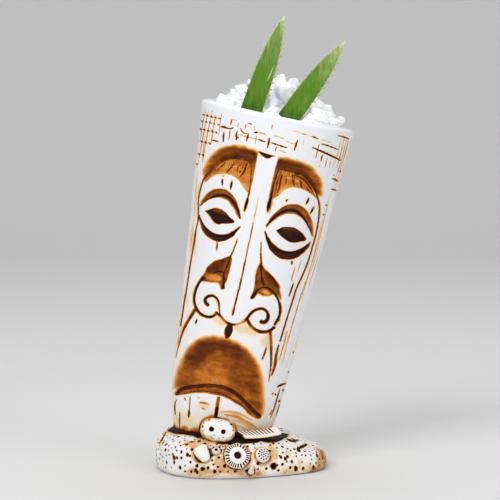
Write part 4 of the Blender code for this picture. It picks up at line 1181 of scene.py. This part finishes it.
def make_urchin():
    """A small pearly dome pricked with dark dots."""
    dots = [(0.0, 0.0)]
    dots += [(1.35 * math.cos(a), 1.35 * math.sin(a)) for a in np.arange(0.3, 6.4, 2 * math.pi / 6)]
    dots += [(2.6 * math.cos(a), 2.6 * math.sin(a)) for a in np.arange(0.1, 6.3, 2 * math.pi / 11)]

    def shape(radius, angle, height):
        x, y = radius * np.cos(angle), radius * np.sin(angle)
        # the foot of the dome is dark: partly stain in the joint, partly painted contact shadow
        tone = 0.9 * (1.0 - smooth(-0.8, 0.35, height))
        rise = 0.0
        for u, v in dots:
            gap = np.hypot(x - u, y - v)
            prick = (height > 0.0) * (1.0 - smooth(0.3, 0.56, gap))
            tone = np.maximum(tone, 0.9 * prick)
            rise = rise - 0.4 * prick
        return 0.0, rise, tone

    profile = [(3.9, -1.7), (3.98, -0.4), (3.75, 0.5), (3.0, 1.3), (1.8, 1.85), (0.02, 2.05)]
    return round_sprig("urchin_carved", sprig_frame("pearl_urchin"), profile, 150, 54, shape)


def make_fan():
    """A small squarish scallop with fine ribs."""
    columns, rows = 120, 50
    lon = np.linspace(0.0, 2.0 * math.pi, columns, endpoint=False)[None, :]
    lat = np.linspace(-math.pi / 2.0, math.pi / 2.0, rows + 2)[1:-1, None]
    ring = np.cos(lat) ** 0.7
    along = ring * signed_power(np.cos(lon), 0.72)
    across = ring * signed_power(np.sin(lon), 0.72)
    taper = 0.76 + 0.24 * along
    grid = np.stack(np.broadcast_arrays(4.9 * along, 4.6 * across * taper,
                                        1.9 * np.sin(lat)), -1)
    fan_angle = np.arctan2(grid[..., 1], grid[..., 0] + 7.0)
    ribs = np.cos(fan_angle * 34.0)
    edge = np.maximum(np.abs(along), np.abs(across))
    grid[..., 2] += 0.08 * ribs * (np.sin(lat) > 0.0) * smooth(1.0, 0.7, edge)
    # the lower half, towards the base, is dark: partly stain in the joint, partly painted shade under the
    # shell
    tone = 0.05 - 0.05 * ribs + 0.85 * (1.0 - smooth(-0.5, 0.25, grid[..., 2]))
    tone = np.maximum(tone, 0.3 * smooth(0.82, 1.0, edge))
    return closed_rings("fan_ribbed", placed(grid, sprig_frame("fan_shell", 128.0)), {"tone": tone})


def make_barnacle(number, size):
    def shape(radius, angle, height):
        ridges = np.cos(9 * angle + number)
        crater = 1.0 - smooth(0.22 * size, 0.5 * size, radius)
        tone = np.maximum(0.95 * crater, 0.1 - 0.1 * ridges * smooth(0.3, 0.9, radius / size))
        # the foot is dark: partly stain in the joint, partly painted contact shadow
        tone = np.maximum(tone, 0.9 * (1.0 - smooth(-0.4, 0.3, height)))
        return 0.1 * size * ridges * smooth(0.4, 1.0, radius / size), -0.5 * size * crater, tone

    profile = [(size, -0.6 * size), (size, 0.0), (0.82 * size, 0.5 * size),
               (0.55 * size, 0.92 * size), (0.3 * size, 0.9 * size), (0.01, 0.85 * size)]
    seat = sprig_frame(f"barnacle_{number}")
    return round_sprig(f"barnacle_carved_{number}", seat, profile, 64, 28, shape)


def make_cone():
    def shape(radius, angle, height):
        spiral = np.sin(angle + height * 4.6)
        # the lower end is darker: partly stain in the joint, partly painted contact shadow
        tone = 0.12 + 0.1 * spiral + 0.5 * (1.0 - smooth(-1.2, 0.4, height))
        return 0.09 * spiral * smooth(0.1, 0.8, radius), 0.0, tone

    profile = [(1.2, -1.7), (1.6, -0.2), (1.25, 1.6), (0.8, 3.3), (0.4, 4.2), (0.02, 4.5)]
    matrix = sprig_frame("cone_shell", lift=1.0) @ Matrix.Rotation(math.radians(-62.0), 4, "X")
    return round_sprig("cone_carved", matrix, profile, 48, 40, shape)


# ---- leaves ----

LEAF_BURIED = 33.0
LEAF_HALF_WIDTH = 5.6
LEAF_HALF_THICKNESS = 1.8
LEAF_HOLLOW = 1.0
LEAF_FORWARD = math.radians(9.0)


def leaf_frame(root, tilt_deg):
    """The leaf's frame: origin level with the rim, +Z along the leaf, -Y its hollowed face."""
    return (Matrix.Translation(root) @ Matrix.Rotation(math.radians(tilt_deg), 4, "Y")
            @ Matrix.Rotation(LEAF_FORWARD, 4, "X"))


LEAVES = {
    "leaf_left": (leaf_frame((5.6, -24.0, 190.5), 19.3), 52.6),
    "leaf_right": (leaf_frame((25.0, -17.5, 186.6), 36.1), 49.9),
}


def leaf_taper(along, visible):
    return 1.0 - np.clip(along / visible, 0.0, 1.0) ** 3.0


def leaf_blade(matrix, visible, with_fold):
    """The leaf's points, faces, climb and pale values. Its butt is under the ice, and its face
    is hollowed and finely ribbed."""
    columns, rows = 72, 210
    angle = np.linspace(0.0, 2.0 * math.pi, columns, endpoint=False)[None, :]
    share = np.linspace(0.0, 1.0, rows)[:, None]
    along = -LEAF_BURIED + (LEAF_BURIED + visible - 0.15) * share ** 0.94
    taper = leaf_taper(along, visible) * (0.35 + 0.65 * smooth(-0.02, 0.05, share))
    across = signed_power(np.cos(angle), 0.86)
    through = np.sin(angle)
    x = LEAF_HALF_WIDTH * across * taper
    y = LEAF_HALF_THICKNESS * through * taper - LEAF_HOLLOW * across ** 2 * taper
    y = y + 0.12 * np.sin(across * 9.0) * (through < 0) * taper
    fold = np.zeros_like(x)
    if with_fold:
        centre = 0.62 + 0.012 * (along - 24.0)
        reach = smooth(17.0, 20.0, along) * (1.0 - smooth(24.0, 27.0, along))
        fold = reach * (1.0 - smooth(0.01, 0.07, np.abs(across - centre))) * (through < 0)
    grid = np.stack(np.broadcast_arrays(x, y - 0.35 * fold, along), -1)
    ends = placed(np.array(((0.0, 0.0, -LEAF_BURIED), (0.0, 0.0, visible))), matrix)
    # a pale line along the left leaf's fold is a painted highlight; the pale edges are the leaf's own
    # bloom
    edge_pale_and_fold_highlight = np.maximum(0.42 * smooth(0.92, 1.0, np.abs(across)), 0.8 * fold)
    tip_pale = 0.75 * smooth(visible - 4.5, visible - 0.8, along)
    pale = np.append(np.maximum(edge_pale_and_fold_highlight, tip_pale), (0.0, 0.9))
    climb = np.append(np.clip(grid[..., 2] / visible, 0.0, 1.0), (0.0, 1.0))
    faces = ring_faces(rows, columns)
    faces += fan_faces(rows * columns, 0, columns, False)
    faces += fan_faces(rows * columns + 1, (rows - 1) * columns, columns, True)
    return np.vstack((placed(grid, matrix).reshape(-1, 3), ends)), faces, climb, pale


def thorn_points(side, place, size, taper, matrix):
    """A ring of eight points in the leaf's edge, the thorn's tip and a point under the ring."""
    root = np.array((side * (LEAF_HALF_WIDTH * taper - 0.25), -LEAF_HOLLOW * taper, place))
    tip = root + np.array((side * 1.25, -0.1, 0.5)) * size
    ring = []
    for turn in np.linspace(0.0, 2.0 * math.pi, 8, endpoint=False):
        ring.append(root + np.array((-side * 0.25, 0.4 * math.cos(turn),
                                     0.85 * math.sin(turn))) * size)
    ring = ring if side > 0 else ring[::-1]
    return placed(np.array(ring + [tip, root - np.array((side * 0.5, 0.0, 0.0))]), matrix)


def make_leaf(name):
    """A thick aloe leaf with a row of pale thorns on each edge."""
    matrix, visible = LEAVES[name]
    rng = random.Random(name)
    blade, faces, climb, pale = leaf_blade(matrix, visible, name == "leaf_left")
    verts, climbs, pales = [blade], [climb], [pale]
    count = len(blade)
    # thorns lean towards the tip; they start a little above the rim, small at first
    for side in (-1.0, 1.0):
        place = 9.0 + 1.3 * side
        while place < visible * 0.94:
            taper = float(leaf_taper(place, visible))
            size = (1.0 + 0.7 * min(1.0, place / 20.0)) * (0.5 + 0.5 * taper)
            size *= rng.uniform(0.85, 1.2)
            verts.append(thorn_points(side, place, size, taper, matrix))
            faces += [(count + (j + 1) % 8, count + j, count + 8) for j in range(8)]
            faces += [(count + j, count + (j + 1) % 8, count + 9) for j in range(8)]
            climbs.append(np.full(10, place / visible))
            pales.append(np.array([0.12] * 8 + [0.9, 0.1]))
            count += 10
            place += rng.uniform(3.2, 4.5) * (0.6 + 0.4 * taper)
    return build_mesh(f"{name}_thorned", np.vstack(verts), faces,
                      {"climb": np.concatenate(climbs), "pale": np.concatenate(pales)})


# ---- ice ----

def clear_of_leaves(points):
    """Pushes points out of the room in which the leaves slide."""
    points = points.copy()
    for matrix, _ in LEAVES.values():
        back = matrix.inverted()
        local = placed(points, back)
        local[:, 1] += 0.3
        share = np.hypot(local[:, 0] / (LEAF_HALF_WIDTH + 0.9),
                         local[:, 1] / (LEAF_HALF_THICKNESS + 1.5))
        push = np.where(share < 1.0, 1.0 / np.maximum(share, 0.05), 1.0)
        local[:, 0] *= push
        local[:, 1] *= push
        local[:, 1] -= 0.3
        points = np.where((share < 1.0)[:, None], placed(local, matrix), points)
    return points


def ice_lump(rng, radius):
    """A broken lump with flat faces and slightly melted edges."""
    stretch = [rng.uniform(0.75, 1.2) for _ in range(3)]
    bm = bmesh.new()
    for _ in range(rng.randint(10, 16)):
        corner = Vector([rng.gauss(0.0, 1.0) for _ in range(3)]).normalized()
        corner = Vector([value * share for value, share in zip(corner, stretch)])
        bm.verts.new(corner * radius)
    bmesh.ops.convex_hull(bm, input=bm.verts[:])
    bmesh.ops.bevel(bm, geom=bm.edges[:], offset=0.07 * radius, segments=2, profile=0.6,
                    affect="EDGES", clamp_overlap=True)
    bm.verts.index_update()
    points = np.array([v.co[:] for v in bm.verts])
    faces = [[v.index for v in f.verts] for f in bm.faces]
    bm.free()
    return points, faces


def heap_places(rng):
    """Where the lumps lie, in the cup's frame: rings that climb to a heap behind the leaves."""
    places = []
    for ring, count, height, radius in ((31.0, 22, 1.4, 4.2), (25.5, 18, 4.2, 5.4),
                                        (18.5, 14, 7.8, 6.6), (11.0, 9, 10.6, 7.4),
                                        (4.5, 4, 12.6, 7.6)):
        for number in range(count):
            angle = 2.0 * math.pi * (number + rng.uniform(-0.3, 0.3)) / count
            r = ring + rng.uniform(-1.4, 1.4)
            places.append((r * math.cos(angle), r * math.sin(angle) * OVALITY,
                           CUP_LENGTH + height + rng.uniform(-1.4, 1.6),
                           radius * rng.uniform(0.72, 1.15)))
    return places


def shard_places(rng):
    """Small shards that fill the low places between the lumps and in front of the leaves."""
    places = []
    for _ in range(120):
        angle = rng.uniform(0.0, 2.0 * math.pi)
        r = 31.5 * math.sqrt(rng.random())
        bed = 5.0 * (1.0 - (r / 33.0) ** 2)
        places.append((r * math.cos(angle), r * math.sin(angle) * OVALITY,
                       CUP_LENGTH + bed + rng.uniform(-1.0, 1.6), rng.uniform(1.8, 3.4)))
    return places


def world_to_cup(world):
    """The inverse of cup_to_world."""
    x, y, z = world[..., 0] - FOOT_X, world[..., 1], world[..., 2] - SEAT_Z
    return np.stack((x * LEAN_COS - z * LEAN_SIN, y, x * LEAN_SIN + z * LEAN_COS), axis=-1)


def trough_depth(places):
    """How far the ice lies lower between the front rim and the leaves, at places in the cup."""
    drop = np.zeros(len(places))
    for matrix, _ in LEAVES.values():
        root = world_to_cup(np.array(matrix.translation))
        beside = (places[:, 0] - root[0]) / 9.0
        drop = np.maximum(drop, np.exp(-beside ** 2) * smooth(root[1] + 4.0, root[1] - 3.0, places[:, 1]))
    return 4.4 * drop


def make_packed_ice():
    """The frame's bed of ice, with its top pressed down in front of the leaves."""
    source = frame["nodes"]["ice_bed"]
    bm = bmesh.new()
    bm.from_mesh(source.data)
    bm.transform(source.matrix_world)
    bmesh.ops.triangulate(bm, faces=bm.faces[:])
    bmesh.ops.remove_doubles(bm, verts=bm.verts[:], dist=0.00001)
    bmesh.ops.subdivide_edges(bm, edges=bm.edges[:], cuts=3, use_grid_fill=True)
    bm.verts.index_update()
    points = np.array([v.co[:] for v in bm.verts]) / MM
    faces = [[v.index for v in f.verts] for f in bm.faces]
    bm.free()
    local = world_to_cup(points)
    top = smooth(CUP_LENGTH - 12.0, CUP_LENGTH - 2.0, local[:, 2])
    local[:, 2] -= trough_depth(local) * top
    bed = build_mesh("ice_packed", cup_to_world(local), faces)
    bed.data.set_sharp_from_angle(angle=math.radians(30.0))
    return bed


def near_a_leaf(centre, radius):
    """True where a lump would fill much of the room that a leaf slides in."""
    for matrix, _ in LEAVES.values():
        local = placed(centre[None], matrix.inverted())[0]
        beside = max(0.0, abs(local[0]) - LEAF_HALF_WIDTH - 0.9)
        before = max(0.0, abs(local[1] + 0.3) - LEAF_HALF_THICKNESS - 1.5)
        if math.hypot(beside, before) < 0.45 * radius:
            return True
    return False


def make_ice_heap():
    rng = random.Random(23)
    verts, faces, count = [], [], 0
    for across, deep, up, radius in heap_places(rng) + shard_places(rng):
        lower = float(trough_depth(np.array(((across, deep, up),)))[0])
        up -= 1.7 * lower
        radius *= 1.0 - 0.1 * lower
        centre = cup_to_world(np.array((across, deep, up)))
        points, lump_faces = ice_lump(rng, radius)
        if near_a_leaf(centre, radius):
            continue
        points = clear_of_leaves(points + centre)
        verts.append(points)
        faces += [[i + count for i in face] for face in lump_faces]
        count += len(points)
    heap = build_mesh("ice_heap", np.vstack(verts), faces)
    heap.data.set_sharp_from_angle(angle=math.radians(40.0))
    return heap


# ---- materials ----

def srgb(red, green, blue):
    def linear(value):
        share = value / 255.0
        return share / 12.92 if share <= 0.04045 else ((share + 0.055) / 1.055) ** 2.4
    return (linear(red), linear(green), linear(blue), 1.0)


class Shader:
    """A small help for writing node materials."""

    def __init__(self, name):
        self.material = bpy.data.materials.new(name)
        self.material.use_nodes = True
        self.tree = self.material.node_tree
        self.surface = self.tree.nodes["Principled BSDF"]

    def node(self, kind, **values):
        node = self.tree.nodes.new(kind)
        for key, value in values.items():
            if key in node.inputs:
                node.inputs[key].default_value = value
            else:
                setattr(node, key, value)
        return node

    def link(self, source, target):
        self.tree.links.new(source, target)

    def set(self, **values):
        for key, value in values.items():
            self.surface.inputs[key.replace("_", " ")].default_value = value

    def noise(self, scale, detail=4.0, roughness=0.6, stretch=None):
        """Noise over the object's own coordinates. scale is in lumps for each metre."""
        place = self.node("ShaderNodeTexCoord")
        vector = place.outputs["Object"]
        if stretch:
            mapping = self.node("ShaderNodeMapping")
            mapping.inputs["Scale"].default_value = stretch
            self.link(vector, mapping.inputs["Vector"])
            vector = mapping.outputs["Vector"]
        node = self.node("ShaderNodeTexNoise", Scale=scale, Detail=detail, Roughness=roughness)
        self.link(vector, node.inputs["Vector"])
        return node.outputs["Fac"]

    def math(self, operation, first, second, clamp=False):
        node = self.node("ShaderNodeMath")
        node.operation = operation
        node.use_clamp = clamp
        for socket, value in zip(node.inputs, (first, second)):
            if isinstance(value, (int, float)):
                socket.default_value = value
            else:
                self.link(value, socket)
        return node.outputs["Value"]

    def ramp(self, factor, stops):
        node = self.node("ShaderNodeValToRGB")
        elements = node.color_ramp.elements
        elements[0].position, elements[0].color = stops[0]
        elements[1].position, elements[1].color = stops[-1]
        for position, colour in stops[1:-1]:
            elements.new(position).color = colour
        self.link(factor, node.inputs["Fac"])
        return node.outputs["Color"]

    def attribute(self, name):
        node = self.node("ShaderNodeAttribute")
        node.attribute_name = name
        return node.outputs["Fac"]

    def bump(self, height, strength, distance):
        node = self.node("ShaderNodeBump", Strength=strength, Distance=distance)
        self.link(height, node.inputs["Height"])
        self.link(node.outputs["Normal"], self.surface.inputs["Normal"])


GLAZE_STOPS = [
    (0.0, srgb(236, 237, 242)), (0.1, srgb(241, 230, 208)), (0.22, srgb(228, 186, 122)),
    (0.36, srgb(208, 126, 44)), (0.5, srgb(154, 80, 6)), (0.64, srgb(106, 46, 0)),
    (0.8, srgb(66, 22, 2)), (1.0, srgb(22, 10, 12))]
REEF_STOPS = [
    (0.0, srgb(234, 235, 240)), (0.12, srgb(238, 228, 208)), (0.26, srgb(222, 188, 142)),
    (0.4, srgb(192, 138, 82)), (0.55, srgb(140, 84, 36)), (0.7, srgb(90, 44, 16)),
    (0.85, srgb(48, 20, 10)), (1.0, srgb(20, 9, 12))]


def glaze_material(name, stops, mottle, roughness, coat):
    """Glossy crackled glaze over oxide stain. The mesh's tone picks the stain's strength."""
    s = Shader(name)
    tone = s.attribute("tone")
    broad = s.noise(260.0, 5.0, 0.65)
    fine = s.noise(1500.0, 4.0, 0.6)
    varied = s.math("MULTIPLY", tone, s.math("ADD", 0.72, s.math("MULTIPLY", broad, 0.56)))
    speck = s.math("MULTIPLY", s.math("SUBTRACT", fine, 0.5), 0.10)
    warm = s.math("MULTIPLY", s.math("SUBTRACT", broad, 0.56, True), mottle)
    total = s.math("ADD", s.math("ADD", varied, warm),
                   s.math("MULTIPLY", speck, s.math("ADD", tone, 0.25)), True)
    s.link(s.ramp(total, stops), s.surface.inputs["Base Color"])
    rough = s.math("ADD", roughness, s.math("MULTIPLY", tone, 0.4))
    s.link(s.math("ADD", rough, s.math("MULTIPLY", fine, 0.08)), s.surface.inputs["Roughness"])
    clean = s.math("SUBTRACT", 1.0, s.math("MULTIPLY", tone, 1.6), True)
    s.link(s.math("MULTIPLY", clean, coat), s.surface.inputs["Coat Weight"])
    s.set(Coat_Roughness=0.1, Specular_IOR_Level=0.15)
    s.bump(s.math("ADD", s.math("MULTIPLY", broad, 0.7), s.math("MULTIPLY", fine, 0.3)),
           0.35, 0.0003)
    return s.material


def leaf_material():
    """Waxy aloe skin: deep green low down, bloomed and pale towards the tip and edges, with a pale
    painted highlight along the left leaf's fold.
    """
    s = Shader("aloe_skin")
    climb = s.attribute("climb")
    pale = s.attribute("pale")
    streak = s.noise(620.0, 4.0, 0.6, (1.0, 1.0, 0.12))
    cloud = s.noise(120.0, 3.0, 0.6)
    place = s.math("ADD", climb, s.math("MULTIPLY", s.math("SUBTRACT", streak, 0.5), 1.3))
    place = s.math("ADD", place, s.math("MULTIPLY", s.math("SUBTRACT", cloud, 0.5), 0.5), True)
    skin = s.ramp(place, [
        (0.0, srgb(62, 104, 2)), (0.2, srgb(84, 128, 6)), (0.42, srgb(92, 130, 26)),
        (0.62, srgb(114, 144, 62)), (0.82, srgb(142, 164, 88)), (1.0, srgb(178, 194, 132))])
    mix = s.node("ShaderNodeMix")
    mix.data_type = "RGBA"
    s.link(pale, mix.inputs[0])
    s.link(skin, mix.inputs[6])
    mix.inputs[7].default_value = srgb(228, 232, 196)
    s.link(mix.outputs[2], s.surface.inputs["Base Color"])
    s.link(s.math("ADD", 0.3, s.math("MULTIPLY", cloud, 0.22)), s.surface.inputs["Roughness"])
    s.set(Coat_Weight=0.08, Coat_Roughness=0.3, Specular_IOR_Level=0.3)
    s.bump(streak, 0.4, 0.0004)
    return s.material


def ice_material(name, transmission, roughness):
    """Crushed ice: cloudy white cores in clear edges, with a faint painted glow."""
    s = Shader(name)
    cloud = s.noise(330.0, 5.0, 0.62)
    frost = s.noise(1400.0, 3.0, 0.6)
    s.link(s.ramp(cloud, [(0.3, srgb(244, 248, 255)), (0.6, srgb(255, 255, 255))]),
           s.surface.inputs["Base Color"])
    s.link(s.math("ADD", roughness, s.math("MULTIPLY", frost, 0.24)),
           s.surface.inputs["Roughness"])
    # the faint bluish emission is a painted glow that brightens the ice; ice gives no light
    s.set(Transmission_Weight=transmission, IOR=1.31, Coat_Weight=0.4, Coat_Roughness=0.05,
          Emission_Color=(0.86, 0.93, 1.0, 1.0), Emission_Strength=0.08)
    s.bump(s.math("ADD", cloud, s.math("MULTIPLY", frost, 0.3)), 0.5, 0.0008)
    return s.material


def wear(piece, material, slot, body, *nodes):
    """Gives a piece its material, hides the CAD nodes it stands for and hangs it on the body it rides on.
    slot is not used.
    """
    piece.data.materials.clear()
    piece.data.materials.append(material)
    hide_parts(*nodes)
    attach(piece, body)


# ---- assembly ----

def dress_mug():
    cup_glaze = glaze_material("cup_glaze_look", GLAZE_STOPS, 0.05, 0.16, 0.06)
    reef_glaze = glaze_material("reef_glaze_look", REEF_STOPS, 0.22, 0.24, 0.06)
    sprig_glaze = glaze_material("sprig_glaze_look", REEF_STOPS, 0.12, 0.18, 0.08)
    wear(make_cup(), cup_glaze, "cup_glaze", "mug", "cup_body")
    wear(make_reef(), reef_glaze, "reef_glaze", "mug", "reef_base")
    for node, sprig in (("bone_bead", make_bead()), ("comb_shell", make_comb()),
                        ("daisy_barnacle", make_daisy()), ("pearl_urchin", make_urchin()),
                        ("fan_shell", make_fan()), ("cone_shell", make_cone()),
                        ("barnacle_1", make_barnacle(1, 2.2)),
                        ("barnacle_2", make_barnacle(2, 1.3)),
                        ("barnacle_3", make_barnacle(3, 1.2))):
        wear(sprig, sprig_glaze, "sprig_glaze", "mug", node)


def dress_contents():
    lumps = [name for name in frame["nodes"] if name.startswith("ice_chunk_")]
    wear(make_ice_heap(), ice_material("crushed_ice_look", 0.1, 0.05), "ice", "ice", *lumps)
    wear(make_packed_ice(), ice_material("packed_ice_look", 0.05, 0.2), "ice", "ice", "ice_bed")
    skin = leaf_material()
    for name in LEAVES:
        wear(make_leaf(name), skin, "leaf", name, name)


# ---- the studio, in metres ----

def make_floor():
    """A pale floor that curves up behind the mug."""
    half_width, depth_before, depth_behind, bend, height = 4.0, 2.5, 1.2, 0.8, 3.0
    profile = [(-depth_before, 0.0), (depth_behind, 0.0)]
    profile += [(depth_behind + bend * math.sin(a), bend - bend * math.cos(a))
                for a in np.linspace(0.0, math.pi / 2.0, 13)[1:]]
    profile.append((depth_behind + bend, height))
    verts = [(x, y, z) for y, z in profile for x in (-half_width, half_width)]
    faces = [(2 * i, 2 * i + 1, 2 * i + 3, 2 * i + 2) for i in range(len(profile) - 1)]
    floor = build_mesh("studio_floor", np.array(verts) / MM, faces)
    paper = Shader("studio_paper")
    paper.set(Base_Color=(0.7, 0.7, 0.7, 1.0), Roughness=0.9)
    floor.data.materials.append(paper.material)


def add_seen_from(name, data, place, target):
    """Adds a lamp or camera at a place, looking at the target."""
    holder = bpy.data.objects.new(name, data)
    holder.location = place
    holder.rotation_euler = (Vector(target) - Vector(place)).to_track_quat("-Z", "Y").to_euler()
    bpy.context.scene.collection.objects.link(holder)
    return holder


def make_lights():
    for name, place, size, power in (("key", (-0.75, -1.3, 1.25), 0.9, 18.0),
                                     ("fill", (1.3, -1.2, 0.7), 1.1, 8.0),
                                     ("top", (0.1, 0.3, 1.6), 1.2, 9.0)):
        light = bpy.data.lights.new(name, "AREA")
        light.shape = "DISK"
        light.size = size
        light.energy = power
        add_seen_from(name, light, place, (0.0, 0.0, 0.1))
    world = bpy.data.worlds.new("studio")
    world.use_nodes = True
    background = world.node_tree.nodes["Background"]
    background.inputs["Color"].default_value = (1.0, 1.0, 1.0, 1.0)
    background.inputs["Strength"].default_value = 0.42
    bpy.context.scene.world = world


def make_camera():
    camera = bpy.data.cameras.new("camera")
    eye, aim = Vector(EYE) * MM, Vector(AIM) * MM
    camera.sensor_width = 36.0
    camera.lens = camera.sensor_width * (aim - eye).length / (VIEW_WIDTH * MM)
    bpy.context.scene.camera = add_seen_from("camera", camera, eye, aim)


dress_mug()
dress_contents()
bpy.context.scene.view_settings.view_transform = "Standard"
make_floor()
make_lights()
make_camera()
